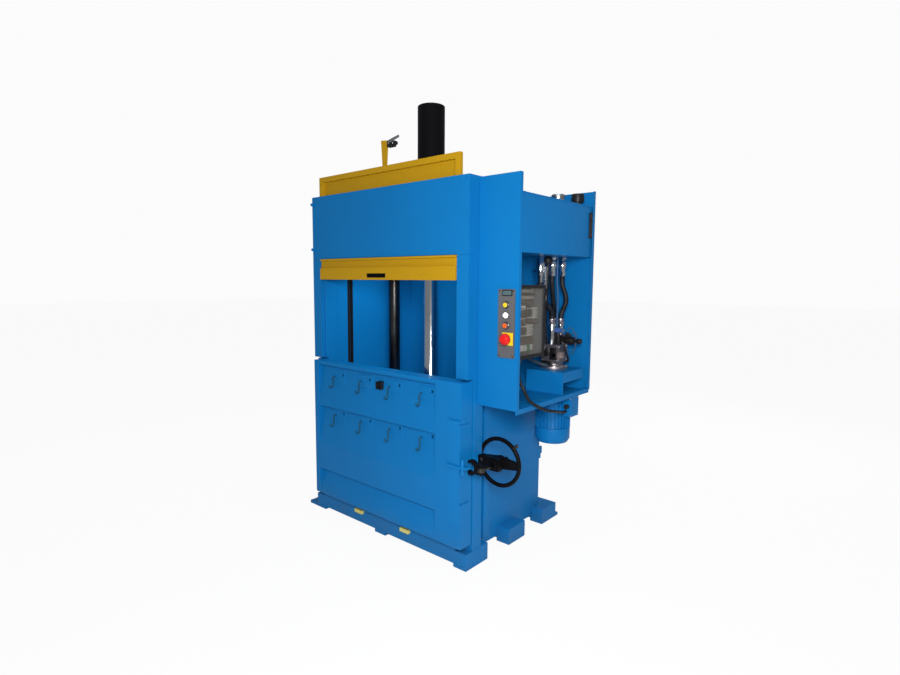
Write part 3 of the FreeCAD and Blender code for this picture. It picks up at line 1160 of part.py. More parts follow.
def cabinet_devices():
    """Mounting plate with its row of breakers, contactors and terminals."""
    plate_x = from_low(add(CABINET_X[0], "cabinet_sheet"), "device_plate")
    margin = "0 - device_margin"
    pieces = [block("device_plate", plate_x, grown(CABINET_Y, margin), grown(CABINET_Z, margin))]
    inner = less("cabinet_width", "4 * device_margin")
    rows = (("breaker", 6, "breaker_depth", less(CABINET_Z[1], "breaker_height + 3 * device_margin")),
            ("contactor", 3, "contactor_depth", add(CABINET_Z[0], "contactor_height + 3 * device_margin")),
            ("terminal", 10, "breaker_depth / 2", add(CABINET_Z[0], "2 * device_margin")))
    for name, count, depth, low in rows:
        height = "breaker_height" if name == "breaker" else "contactor_height"
        height = f"{height} / 2" if name == "terminal" else height
        for k in range(count):
            y = add(CABINET_Y[0], "2 * device_margin", f"{k} * ({inner}) / {count}")
            pieces.append(block(f"{name}_{k}", from_low(plate_x[1], depth),
                                (y, add(y, f"({inner}) / {count} - device_gap")), from_low(low, height)))
    node(join("cabinet_devices", *pieces))


def cabinet_door():
    """Framed door with a clear window, hung on the cabinet's pins."""
    x, y = CABINET_HINGE
    door_x = from_low(add(CABINET_X[1], "cabinet_gap"), "cabinet_door")
    rim, rebate = "0 - window_rim", "window_rebate - window_rim"
    shoulder = add(door_x[0], "cabinet_gap + window_thick")
    pieces = [block("cabinet_leaf", door_x, CABINET_Y, CABINET_Z)]
    bores = [
        block("cabinet_opening", grown(door_x, CLEAR), grown(CABINET_Y, rim), grown(CABINET_Z, rim)),
        block("cabinet_rebate", (less(door_x[0], CLEAR), shoulder), grown(CABINET_Y, rebate),
              grown(CABINET_Z, rebate)),
    ]
    for k, middle in enumerate(hinge_levels()):
        z = (middle, add(middle, "barrel_length / 2"))
        pieces.append(bar(f"door_barrel_{k}", "Z", CABINET_HINGE, "barrel_small", z))
        pieces.append(block(f"door_web_{k}", from_low(x, "barrel_small"),
                            (less(CABINET_Y[1], "window_rebate"), y), z))
        bores.append(bar(f"door_bore_{k}", "Z", CABINET_HINGE, "pin_small + run_gap", grown(z, CLEAR)))
    node(cut("cabinet_door", join("cabinet_door_welded", *pieces), *bores))
    node(block("cabinet_window", from_high(shoulder, "window_thick"), grown(CABINET_Y, rebate),
               grown(CABINET_Z, rebate)))


PANEL_X = from_high(f"({WING_X} - control_edge)", "control_width")
PANEL_Y = from_high(WING_FRONT[0], "control_thick")
PANEL_Z = from_low(f"({WING_Z} + control_rise)", "control_height")
PANEL_MID = add(PANEL_X[0], "control_width / 2")
STOP = (add(PANEL_MID, "estop_shift"), less(PANEL_Z[1], "estop_drop"))


def control_z(k):
    return less(PANEL_Z[1], f"control_first + {k} * control_step")


def control_panel():
    """Panel plate with the bezels that guide the two buttons and the stop's neck."""
    face = PANEL_Y[0]
    bezel_y = from_high(face, "bezel_height")
    bore_y = (less(bezel_y[0], CLEAR), face)
    pieces, bores = [block("panel_plate", PANEL_X, PANEL_Y, PANEL_Z)], []
    for k in (0, 2):
        centre = (PANEL_MID, control_z(k))
        pieces.append(bar(f"bezel_{k}", "Y", centre, "bezel_radius", bezel_y))
        bores.append(bar(f"bezel_bore_{k}", "Y", centre, "cap_radius + run_gap", bore_y))
    pieces.append(bar("stop_collar", "Y", STOP, "estop_collar", bezel_y))
    bores.append(bar("stop_bore", "Y", STOP, "estop_neck + run_gap", bore_y))
    node(cut("control_panel", join("panel_built", *pieces), *bores))


def controls():
    face = PANEL_Y[0]
    seat = less(face, "hinge_clear")
    for name, k in (("start_button", 0), ("stop_button", 2)):
        front = less(face, "bezel_height + cap_proud")
        node(turned(name, "Y", (PANEL_MID, control_z(k)), [
            ("0", front), ("cap_radius - cap_round", front), ("cap_radius", add(front, "cap_round")),
            ("cap_radius", less(seat, "press_travel")), ("0", less(seat, "press_travel")),
        ]))
    node(turned("signal_lamp", "Y", (PANEL_MID, control_z(1)), [
        ("0", less(face, "lamp_height")),
        ("cap_radius - lamp_round", less(face, "lamp_height")),
        ("cap_radius", less(face, "lamp_height - lamp_round")),
        ("cap_radius", less(face, "lamp_rim")),
        ("bezel_radius", less(face, "lamp_rim")),
        ("bezel_radius", face),
        ("0", face),
    ]))
    front = less(face, "estop_height")
    node(turned("estop_head", "Y", STOP, [
        ("0", front),
        ("estop_radius - estop_crown", front),
        ("estop_radius - estop_crown / 3", add(front, "estop_dome / 3")),
        ("estop_radius", add(front, "estop_dome * 2 / 3")),
        ("estop_radius", add(front, "estop_dome")),
        ("estop_neck", add(front, "estop_dome")),
        ("estop_neck", less(seat, "estop_travel")),
        ("0", less(seat, "estop_travel")),
    ]))


# ---------------------------------------------------------------- build, check and write

def build():
    base()
    posts()
    for side in SIDES:
        side_wall(side)
    guide_channels()
    back_wall()
    crown()
    ram()
    platen()
    header()
    gate_guides()
    gate()
    limit_switch()
    door()
    strap_hooks()
    latch_bar()
    hinges()
    handwheel(latch_bracket())
    spindle_and_claw()
    wings()
    tank()
    plinth()
    valve_block()
    suction_valve()
    hoses()
    hose_fittings()
    motor()
    fan()
    terminal_box()
    motor_cable()
    cabinet_body()
    cabinet_devices()
    cabinet_door()
    control_panel()
    controls()
    doc.recompute()


def check():
    failed = [obj.Name for obj in doc.Objects if "Invalid" in obj.State or "Error" in obj.State]
    for obj in NODES:
        if obj.Shape.isNull() or not obj.Shape.isValid() or obj.Shape.Volume <= 0:
            failed.append(f"{obj.Name} has no sound shape")
    if failed:
        raise RuntimeError(f"failed: {failed}")


def write():
    os.makedirs("parts", exist_ok=True)
    for obj in NODES:
        obj.Shape.exportStep(f"parts/{obj.Name}.step")
    print(f"{len(NODES)} nodes, {sum(len(obj.Shape.Solids) for obj in NODES)} solids")


build()
check()
write()
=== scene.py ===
"""Looks of a vertical recycling baler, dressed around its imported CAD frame.

Metres, in the part's frame: +X to the right seen from the front, +Y to the back, +Z up.
"""
import math

import bmesh
import bpy
from mathutils import Matrix, Vector


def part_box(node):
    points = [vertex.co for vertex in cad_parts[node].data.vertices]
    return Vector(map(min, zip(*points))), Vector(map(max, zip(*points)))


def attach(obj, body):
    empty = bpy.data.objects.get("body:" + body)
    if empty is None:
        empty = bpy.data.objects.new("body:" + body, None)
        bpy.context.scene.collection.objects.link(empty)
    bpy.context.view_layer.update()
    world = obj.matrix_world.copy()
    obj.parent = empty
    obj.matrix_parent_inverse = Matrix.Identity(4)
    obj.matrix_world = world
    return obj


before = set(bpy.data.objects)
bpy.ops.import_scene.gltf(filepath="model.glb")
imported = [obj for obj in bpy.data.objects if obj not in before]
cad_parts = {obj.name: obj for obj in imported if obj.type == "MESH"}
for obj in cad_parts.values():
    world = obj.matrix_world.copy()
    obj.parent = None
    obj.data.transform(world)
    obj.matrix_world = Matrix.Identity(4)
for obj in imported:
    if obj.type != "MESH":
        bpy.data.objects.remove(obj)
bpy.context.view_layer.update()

# Camera, solved from the straight edges of the photographed frame.
CAMERA_AT = (2.5405, -2.8116, 1.6406)
CAMERA_YAW, CAMERA_PITCH, CAMERA_ROLL = 0.7102, 0.1038, 0.0064
CAMERA_LENS = 21.92

BLUE = (0.003, 0.150, 0.410)
YELLOW = (0.440, 0.245, 0.006)
PALE_YELLOW = (0.620, 0.560, 0.180)
BLACK = (0.004, 0.004, 0.005)
PANEL_GREY = (0.105, 0.105, 0.112)
RED = (0.620, 0.012, 0.012)
ORANGE = (0.720, 0.100, 0.015)
WHITE = (0.800, 0.800, 0.770)

MM = 0.001
SMOOTH_ANGLE = math.radians(35)

# Plain background: how bright the world lights the part, and how white the camera sees world and floor.
SOFT_LIGHT, PLAIN_WHITE, FLOOR_WHITE = 0.24, 0.97, 0.94
FLOOR_HALF = 40.0

# Places of the added pieces, in millimetres.
RAM_X, RAM_Y = 0, -60
PUMP_X, PUMP_Y, PUMP_FOOT = 785, 250, 1106
UNIONS = ((800, 175), (800, 300))
HOSE_ENDS = ((761, 280), (809, 280), (785, 211))
TANK_BOTTOM = 1790
PANEL_FRONT, BUTTON_X = -433, 884
HEADER_NUT_Z = (1845, 2150)
HEADER_SCREW_Z = (1790, 1990, 2186)
FLANGE_TOP = 1975
COLLAR_TOP = 960
SHADE_STRIP_Z = (160, 1900)
PLATE_HALF, PLATE_HOLE = 33.5, 16.5
TANK_TOP = 2101


# ---------------------------------------------------------------- materials

class Shader:
    """Node tree of one material, with short calls for the nodes that the finishes share."""

    def __init__(self, name):
        self.material = bpy.data.materials.new(name)
        self.material.use_nodes = True
        self.tree = self.material.node_tree
        self.surface = self.tree.nodes["Principled BSDF"]
        self.place = self.node("ShaderNodeTexCoord").outputs["Object"]

    def node(self, kind, **settings):
        made = self.tree.nodes.new(kind)
        for key, value in settings.items():
            setattr(made, key, value)
        return made

    def link(self, source, target):
        self.tree.links.new(source, target)

    def set(self, **values):
        for key, value in values.items():
            self.surface.inputs[key.replace("_", " ")].default_value = value

    def noise(self, scale, detail=3.0, stretch=None):
        made = self.node("ShaderNodeTexNoise")
        made.inputs["Scale"].default_value = scale
        made.inputs["Detail"].default_value = detail
        place = self.place
        if stretch:
            mapping = self.node("ShaderNodeMapping")
            mapping.inputs["Scale"].default_value = stretch
            self.link(place, mapping.inputs["Vector"])
            place = mapping.outputs["Vector"]
        self.link(place, made.inputs["Vector"])
        return made.outputs["Fac"]

    def remap(self, value, low, high, to_low, to_high):
        made = self.node("ShaderNodeMapRange")
        for key, number in (("From Min", low), ("From Max", high), ("To Min", to_low), ("To Max", to_high)):
            made.inputs[key].default_value = number
        self.link(value, made.inputs["Value"])
        return made.outputs["Result"]

    def math(self, operation, a, b):
        made = self.node("ShaderNodeMath", operation=operation)
        for socket, value in zip(made.inputs, (a, b)):
            if isinstance(value, (int, float)):
                socket.default_value = value
            else:
                self.link(value, socket)
        return made.outputs["Value"]

    def mix(self, factor, first, second):
        """Colour between two colours or colour sockets."""
        made = self.node("ShaderNodeMix", data_type="RGBA")
        for socket, value in ((made.inputs[0], factor), (made.inputs[6], first), (made.inputs[7], second)):
            if isinstance(value, bpy.types.NodeSocket):
                self.link(value, socket)
            else:
                socket.default_value = value if isinstance(value, (int, float)) else (*value, 1)
        return made.outputs[2]

    def bump(self, height, strength, distance, under=None):
        made = self.node("ShaderNodeBump")
        made.inputs["Strength"].default_value = strength
        made.inputs["Distance"].default_value = distance
        self.link(height, made.inputs["Height"])
        if under:
            self.link(under, made.inputs["Normal"])
        return made.outputs["Normal"]

    def color(self, socket):
        self.link(socket, self.surface.inputs["Base Color"])

    def rough(self, socket):
        self.link(socket, self.surface.inputs["Roughness"])

    def normal(self, socket):
        self.link(socket, self.surface.inputs["Normal"])


def tinted(rgb, factor):
    return tuple(min(1.0, channel * factor) for channel in rgb)


def paint(name, rgb, low_rough=0.34, high_rough=0.46, spread=0.05, sheen=0.14):
    """Sprayed enamel on sheet steel: slow changes of tone, orange peel, and painted shade that darkens it
    near the floor.
    """
    made = Shader(name)
    tone = made.remap(made.noise(1.3, 2.0), 0.3, 0.7, 0.0, 1.0)
    body = made.mix(tone, tinted(rgb, 1 - spread), tinted(rgb, 1 + spread))
    split = made.node("ShaderNodeSeparateXYZ")
    made.link(made.place, split.inputs["Vector"])
    # Painted shade: the colour darkens towards a dark grey-blue near the floor, broken up by noise.
    low = made.remap(split.outputs["Z"], 0.02, 0.25, 0.25, 0.0)
    dust_and_floor_shade = made.math("MULTIPLY", low, made.remap(made.noise(6.0, 4.0), 0.35, 0.65, 0.2, 1.0))
    made.color(made.mix(dust_and_floor_shade, body, (0.07, 0.09, 0.11)))
    made.rough(made.remap(made.noise(18.0, 3.0), 0.3, 0.7, low_rough, high_rough))
    sheet = made.bump(made.noise(2.6, 1.0), 0.10, 0.004)
    made.normal(made.bump(made.noise(210.0, 2.0), 0.08, 0.0004, sheet))
    made.set(Specular_IOR_Level=sheen)
    return made.material


def metal(name, rgb, low_rough, high_rough, stretch=(60.0, 60.0, 1.5), grime=0.0):
    """Turned or drawn steel: fine lines along Z, with an uneven film of oil."""
    made = Shader(name)
    film = made.remap(made.noise(14.0, 4.0), 0.35, 0.65, 0.0, 1.0)
    dirt = made.math("MULTIPLY", film, grime)
    made.color(made.mix(dirt, rgb, (0.05, 0.035, 0.02)))
    lines = made.noise(8.0, 5.0, stretch)
    made.rough(made.remap(lines, 0.3, 0.7, low_rough, high_rough))
    made.normal(made.bump(lines, 0.05, 0.0002))
    made.set(Metallic=1.0)
    return made.material


def plastic(name, rgb, low_rough=0.36, high_rough=0.50, grain=320.0, glow=0.0):
    """Moulded plastic with a fine grain."""
    made = Shader(name)
    tone = made.remap(made.noise(40.0, 2.0), 0.3, 0.7, 0.0, 1.0)
    made.color(made.mix(tone, tinted(rgb, 0.90), tinted(rgb, 1.06)))
    made.rough(made.remap(made.noise(90.0, 2.0), 0.3, 0.7, low_rough, high_rough))
    made.normal(made.bump(made.noise(grain, 2.0), 0.08, 0.0002))
    made.set(Specular_IOR_Level=0.25)
    if glow:
        made.set(Emission_Color=(*rgb, 1), Emission_Strength=glow)
    return made.material


def rubber(name, pitch=420.0):
    """Hose cover: black rubber with the wrap of its cloth pressed into it."""
    made = Shader(name)
    dust_and_floor_shade = made.remap(made.noise(30.0, 4.0), 0.45, 0.75, 0.0, 1.0)
    made.color(made.mix(dust_and_floor_shade, (0.004, 0.005, 0.008), (0.016, 0.018, 0.024)))
    wave = made.node("ShaderNodeTexWave", bands_direction="DIAGONAL")
    wave.inputs["Scale"].default_value = pitch
    wave.inputs["Distortion"].default_value = 1.5
    made.link(made.place, wave.inputs["Vector"])
    made.rough(made.remap(made.noise(60.0, 2.0), 0.3, 0.7, 0.42, 0.60))
    made.set(Specular_IOR_Level=0.25)
    made.normal(made.bump(wave.outputs["Fac"], 0.20, 0.0004))
    return made.material


def clear(name):
    """Acrylic window, a little hazed."""
    made = Shader(name)
    haze = made.remap(made.noise(9.0, 4.0), 0.35, 0.75, 0.0, 1.0)
    made.color(made.mix(haze, (0.20, 0.20, 0.18), (0.30, 0.29, 0.26)))
    made.rough(made.remap(made.noise(18.0, 3.0), 0.3, 0.7, 0.06, 0.14))
    made.set(Alpha=0.16, Specular_IOR_Level=0.5)
    return made.material


def circuit(name):
    """Mounting plate and device bases: warm grey with darker seams."""
    made = Shader(name)
    cells = made.node("ShaderNodeTexVoronoi", feature="F1", distance="CHEBYCHEV")
    cells.inputs["Scale"].default_value = 60.0
    made.link(made.place, cells.inputs["Vector"])
    shade = made.remap(made.noise(20.0, 5.0), 0.40, 0.60, 0.0, 1.0)
    made.color(made.mix(shade, (0.070, 0.055, 0.045), (0.260, 0.245, 0.215)))
    made.rough(made.remap(made.noise(40.0, 2.0), 0.3, 0.7, 0.40, 0.55))
    made.normal(made.bump(cells.outputs["Distance"], 0.35, 0.002))
    return made.material


MAT = {
    "blue": paint("blue_enamel", BLUE),
    "yellow": paint("yellow_enamel", YELLOW, 0.32, 0.44, 0.05),
    "tip": paint("pale_yellow_enamel", PALE_YELLOW, 0.45, 0.60, 0.18),
    "black": paint("black_enamel", BLACK, 0.30, 0.42, 0.2, 0.06),
    "grey": paint("grey_enamel", PANEL_GREY, 0.35, 0.48, 0.12),
    "hook": paint("hook_enamel", (0.012, 0.082, 0.150), 0.40, 0.55, 0.25),
    "manifold": metal("phosphated_block", (0.420, 0.365, 0.365), 0.36, 0.54, (12.0, 12.0, 12.0), 0.30),
    "casting": metal("dark_casting", (0.070, 0.066, 0.068), 0.35, 0.55, (25.0, 25.0, 25.0), 0.3),
    "chrome": metal("hard_chrome", (0.78, 0.79, 0.81), 0.06, 0.14),
    "pale_zinc": metal("dull_zinc", (0.56, 0.52, 0.58), 0.30, 0.48, (40.0, 40.0, 40.0), 0.25),
    "plate": metal("rating_plate", (0.50, 0.51, 0.52), 0.30, 0.42, (4.0, 90.0, 90.0), 0.1),
    "lead_blue": paint("blue_pipe", (0.030, 0.090, 0.210), 0.28, 0.40, 0.2),
    "zinc": metal("bright_zinc", (0.62, 0.64, 0.66), 0.20, 0.34, (30.0, 30.0, 30.0), 0.15),
    "dark": metal("oiled_steel", (0.075, 0.072, 0.070), 0.22, 0.38, grime=0.5),
    "black_plastic": plastic("black_plastic", (0.012, 0.012, 0.014)),
    "red": plastic("red_plastic", RED, 0.18, 0.28),
    # Painted glow: the stop button's orange plastic emits light, though it is no lamp.
    "orange": plastic("orange_plastic_painted_glow", ORANGE, 0.18, 0.28, glow=0.15),
    "yellow_plastic": plastic("yellow_plastic", (0.75, 0.52, 0.02), 0.2, 0.3),
    "white": plastic("white_plastic", WHITE, 0.15, 0.25, glow=0.35),
    "rubber": rubber("hose_rubber"),
    "connector": plastic("blue_connector", (0.045, 0.110, 0.330), 0.30, 0.42),
    "spinner": plastic("spinner_grip", (0.020, 0.017, 0.019), 0.30, 0.42),
    "red_brown": plastic("gauge_foot", (0.110, 0.030, 0.022), 0.30, 0.45),
    "lead": plastic("grey_lead", (0.060, 0.085, 0.110), 0.35, 0.50),
    "display": plastic("display_glass", (0.070, 0.115, 0.120), 0.10, 0.18, glow=0.10),
    "case_light": plastic("light_cases", (0.250, 0.235, 0.205), 0.40, 0.55),
    "case_dark": plastic("dark_cases", (0.035, 0.024, 0.018), 0.40, 0.55),
    "terminal": plastic("terminals", (0.420, 0.410, 0.380), 0.40, 0.55),
    "case_green": plastic("green_cases", (0.020, 0.140, 0.060), 0.40, 0.55),
    "wire_brown": plastic("brown_wires", (0.085, 0.045, 0.030), 0.40, 0.55),
    "window": clear("clear_window"),
    "circuit": circuit("switchgear"),
}

NODE_LOOKS = {
    "yellow": ("gate_panel", "switch_bracket"),
    "tip": ("ejector_tips",),
    "black": ("cylinder_tube", "handwheel", "latch_claw", "latch_bracket", "gate_handle"),
    "hook": ("strap_hooks",),
    "grey": ("cabinet_body", "control_panel"),
    "chrome": ("ram_rod", "hose_fittings", "suction_valve"),
    "zinc": ("suction_valve_lever", "switch_lever", "filler_cap"),
    "dark": ("guide_rods", "latch_spindle"),
    "manifold": ("valve_block",),
    "casting": ("solenoid_valve",),
    "black_plastic": ("limit_switch", "level_gauge", "cabinet_door", "motor_fan", "breather_cap"),
    "red": ("estop_head",),
    "orange": ("stop_button",),
    "yellow_plastic": ("start_button",),
    "white": ("signal_lamp",),
    "rubber": ("suction_hose", "pressure_hoses", "motor_cable"),
    "window": ("cabinet_window",),
    "circuit": ("cabinet_devices",),
}
SHARP_NODES = ("suction_hose", "pressure_hoses", "motor_cable", "strap_hooks", "cabinet_devices")
EDGE_RADIUS = 0.0016


def dress_nodes():
    """Gives each CAD node its finish, and a small radius on its edges."""
    looks = {node: MAT[key] for key, nodes in NODE_LOOKS.items() for node in nodes}
    for name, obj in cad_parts.items():
        obj.data.materials.clear()
        obj.data.materials.append(looks.get(name, MAT["blue"]))
        if name not in SHARP_NODES:
            soften(obj, EDGE_RADIUS)


def soften(obj, radius, segments=2):
    weld = obj.modifiers.new("weld", "WELD")
    weld.merge_threshold = 0.00002
    edge = obj.modifiers.new("edge", "BEVEL")
    edge.width = radius
    edge.segments = segments
    edge.limit_method = "ANGLE"
    edge.angle_limit = math.radians(40)
    edge.use_clamp_overlap = True
    edge.harden_normals = False


# ---------------------------------------------------------------- pieces

DIRECTIONS = {
    "X": (1, 0, 0), "-X": (-1, 0, 0), "Y": (0, 1, 0), "-Y": (0, -1, 0), "Z": (0, 0, 1), "-Z": (0, 0, -1),
}


class Piece:
    """One added piece, built in millimetres from turned, folded and swept forms."""

    def __init__(self, name, look, body="frame"):
        self.name, self.look, self.body = name, look, body
        self.shape = bmesh.new()

    def turned(self, at, axis, profile, sides=24):
        """Revolves (radius, height) pairs about an axis that starts at a point."""
        ahead = Vector(DIRECTIONS.get(axis, axis))
        place = Matrix.Translation(at) @ ahead.to_track_quat("Z", "Y").to_matrix().to_4x4()
        rings = [self.ring(place, radius, height, sides) for radius, height in profile]
        for lower, upper in zip(rings, rings[1:]):
            for k in range(sides if len(lower) + len(upper) > 2 else 0):
                corners = (lower[k % len(lower)], lower[(k + 1) % len(lower)],
                           upper[(k + 1) % len(upper)], upper[k % len(upper)])
                self.shape.faces.new(tuple(dict.fromkeys(corners)))

    def ring(self, place, radius, height, sides):
        if radius == 0:
            return [self.shape.verts.new(place @ Vector((0, 0, height)))]
        turns = [2 * math.pi * k / sides for k in range(sides)]
        corners = [Vector((radius * math.cos(turn), radius * math.sin(turn), height)) for turn in turns]
        return [self.shape.verts.new(place @ corner) for corner in corners]

    def block(self, x, y, z, chamfer=1.0):
        """Box with rounded edges."""
        verts = bmesh.ops.create_cube(self.shape, size=1.0)["verts"]
        for vert in verts:
            vert.co = [low + (at + 0.5) * (high - low) for at, (low, high) in zip(vert.co, (x, y, z))]
        edges = list(dict.fromkeys(edge for vert in verts for edge in vert.link_edges))
        bmesh.ops.bevel(self.shape, geom=edges, offset=chamfer, segments=2, profile=0.5, affect="EDGES")

    def swept(self, route, radius, sides=3):
        """Round bar or wire along a smooth line."""
        curve = bpy.data.curves.new(self.name, "CURVE")
        curve.dimensions = "3D"
        curve.bevel_depth = radius
        curve.bevel_resolution = sides
        curve.resolution_u = 6
        curve.use_fill_caps = True
        line = curve.splines.new("NURBS")
        line.points.add(len(route) - 1)
        for point, at in zip(line.points, route):
            point.co = (*at, 1)
        line.order_u = 3
        line.use_endpoint_u = True
        holder = bpy.data.objects.new(self.name, curve)
        mesh = bpy.data.meshes.new_from_object(holder)
        self.shape.from_mesh(mesh)
        bpy.data.objects.remove(holder)
        bpy.data.curves.remove(curve)
        bpy.data.meshes.remove(mesh)

    def bolts(self, spots, axis, radius):
        """Hexagon heads on washers."""
        rim, low, top = 1.4 * radius, 0.2 * radius, 0.95 * radius
        for at in spots:
            self.turned(at, axis, [(0, 0), (rim, 0), (rim, low), (0, low)], 20)
            head = [(0, low), (radius, low), (radius, 0.88 * top), (0.86 * radius, top), (0, top)]
            self.turned(at, axis, head, 6)

    def screws(self, spots, axis, radius):
        """Low domed heads with a round recess."""
        profile = [(0, 0), (1, 0), (1, 0.3), (0.8, 0.55), (0.4, 0.62), (0.36, 0.35), (0, 0.35)]
        for at in spots:
            self.turned(at, axis, [(radius * width, radius * height) for width, height in profile], 16)

    def nut(self, at, axis, radius, height, sides=6):
        """Hexagon nut or turned collar with chamfered ends."""
        edge = 0.12 * radius
        self.turned(at, axis, [(0, 0), (radius - edge, 0), (radius, edge), (radius, height - edge),
                               (radius - edge, height), (0, height)], sides)

    def order_faces(self):
        """Sorts the faces by their corners: those made after a bevel come in another order each run."""
        self.shape.verts.index_update()
        by_corners = sorted(self.shape.faces, key=lambda face: sorted(vert.index for vert in face.verts))
        for index, face in enumerate(by_corners):
            face.index = index
        self.shape.faces.sort()

    def place(self):
        mesh = bpy.data.meshes.new(self.name)
        bmesh.ops.recalc_face_normals(self.shape, faces=self.shape.faces[:])
        bmesh.ops.scale(self.shape, vec=(MM, MM, MM), verts=self.shape.verts[:])
        for face in self.shape.faces:
            face.smooth = True
        self.order_faces()
        self.shape.to_mesh(mesh)
        self.shape.free()
        mesh.set_sharp_from_angle(angle=SMOOTH_ANGLE)
        mesh.materials.append(MAT[self.look])
        made = bpy.data.objects.new(self.name, mesh)
        bpy.context.scene.collection.objects.link(made)
        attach(made, self.body)
        return made


def around(centre, reach):
    return centre - reach, centre + reach


def circle(centre, radius, count, first=0.0):
    """Points on a level circle."""
    turns = [first + 2 * math.pi * k / count for k in range(count)]
    x, y, z = centre
    return [(x + radius * math.cos(turn), y + radius * math.sin(turn), z) for turn in turns]


def frame_fasteners():
    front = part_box("header_panel")[0].y / MM
    header = Piece("header_bolts", "blue")
    for z in HEADER_NUT_Z:
        header.nut((-682, front, z), "-Y", 11, 18)
    header.screws([(684, front, z) for z in HEADER_SCREW_Z], "-Y", 8)
    header.place()
    crown = Piece("crown_bolts", "dark")
    crown.bolts(circle((RAM_X, RAM_Y, FLANGE_TOP), 116, 8, math.pi / 8), "Z", 15)
    crown.place()
    collar = Piece("rod_collar_bolts", "zinc", "platen_ram")
    collar.screws(circle((RAM_X, RAM_Y, COLLAR_TOP), 67, 6), "Z", 7)
    collar.place()
    painted_channel_shade()
    beads()


def painted_channel_shade():
    """Thin dark sheets of painted shade inside the two guide channels, and lining the door's sight hole."""
    low, high = SHADE_STRIP_Z
    # Painted shade: dark sheets laid inside the guide channels, where they lie in shadow.
    strips = Piece("channel_shade_strips", "black_plastic")
    for x in (around(-641.5, 0.4), around(641.5, 0.4)):
        strips.block(x, (-285, -241), (low, high), 0.1)
    for x in ((-640, -607), (607, 640)):
        strips.block(x, (-240.9, -240.2), (low, high), 0.1)
        strips.block(x, (-285.8, -285.1), (low, high), 0.1)
    strips.place()
    # Painted shade: dark sheets lining the inside faces of the door's sight hole.
    hole_shade = Piece("sight_hole_shade", "black_plastic", "bale_door")
    for x in (-1.6, 43.6):
        hole_shade.block(around(x, 0.35), (-563, -472), (967, 1011), 0.1)
    for z in (966.4, 1011.6):
        hole_shade.block((-1, 43), (-563, -472), around(z, 0.35), 0.1)
    hole_shade.place()


def beads():
    """Weld beads where the frame's members meet."""
    weld = Piece("weld_beads", "blue")
    for x in (-695, 695):
        step = 1 if x > 0 else -1
        weld.swept([(x - step * 84, -461, 101.5), (x - step * 42, -461, 102), (x, -461, 101.5)], 2.5)
        weld.swept([(x, -460, 101.5), (x + 0.5, -420, 102), (x, -379, 101.5)], 2.5)
    for z in (559, 661):
        weld.swept([(696, -415, z), (696.5, -396, z), (696, -376, z)], 2.5)
    for y in (164, 336):
        weld.swept([(700, y, 1090.5), (785, y, 1091), (870, y, 1090.5)], 1.0)
    weld.place()


def tank_details():
    lid = Piece("tank_lid_bolts", "zinc")
    rows = [(x, y, TANK_TOP) for x in (712, 927) for y in range(-390, 391, 130)]
    ends = [(820, y, TANK_TOP) for y in (-404, 394)]
    lid.bolts(rows + ends, "Z", 6)
    lid.place()
    rim = Piece("tank_lid_seam", "blue")
    rim.swept([(699, -417, 2099), (699, 407, 2099)], 3)
    rim.swept([(941, -417, 2099), (941, 407, 2099)], 3)
    rim.swept([(699, -417, 2099), (941, -417, 2099)], 3)
    rim.swept([(699, 407, 2099), (941, 407, 2099)], 3)
    rim.place()
    gauge = Piece("gauge_feet", "red_brown")
    gauge.nut((943, 370, 1925), "X", 9, 10.5)
    gauge.nut((943, 370, 2042), "X", 9, 10.5)
    gauge.place()


def tank_fittings():
    """Unions, the suction screen's cap and the thin pipe between the hoses."""
    nuts = Piece("union_nuts", "chrome")
    for x, y in UNIONS:
        nuts.nut((x, y, TANK_BOTTOM), "-Z", 25, 17)
        nuts.nut((x, y, 1760), "-Z", 22, 22)
        ribs = [(0, 0), (15, 0), (17, 4), (15, 8), (17, 12), (15, 16), (17, 20), (14, 24), (0, 24)]
        nuts.turned((x, y, 1738), "-Z", ribs)
        nuts.nut((x, y, 1700), "-Z", 21, 24)
    nuts.nut((795, 45, 1700), "-Z", 33, 8, 24)
    nuts.nut((795, 45, 1724), "-Z", 33, 7, 24)
    nuts.nut((766, 45, 1700), "-X", 12, 16)
    nuts.place()
    cap = Piece("pressure_switch", "black_plastic")
    cap.nut((808, 108, TANK_BOTTOM), "-Z", 19, 9)
    can = [(0, 0), (18, 0), (26, 3), (28, 8), (28, 30), (24, 37), (9, 40), (8, 48), (0, 48)]
    cap.turned((808, 108, 1782), "-Z", can)
    cap.place()
    pipe = Piece("pilot_pipe", "lead_blue")
    pipe.swept([(800, 238, 1790), (800, 238, 1740), (797, 240, 1640), (806, 246, 1530), (800, 247, 1430),
                (802, 247, 1380), (802, 246, 1342)], 5.5)
    pipe.place()
    drain = Piece("drain_hose", "rubber")
    drain.swept([(782, 150, 1790), (782, 150, 1700), (776, 168, 1600), (752, 190, 1500), (742, 204, 1400),
                 (744, 208, 1330), (744, 208, 1244)], 8)
    drain.nut((744, 208, 1244), "Z", 13, 22)
    drain.place()


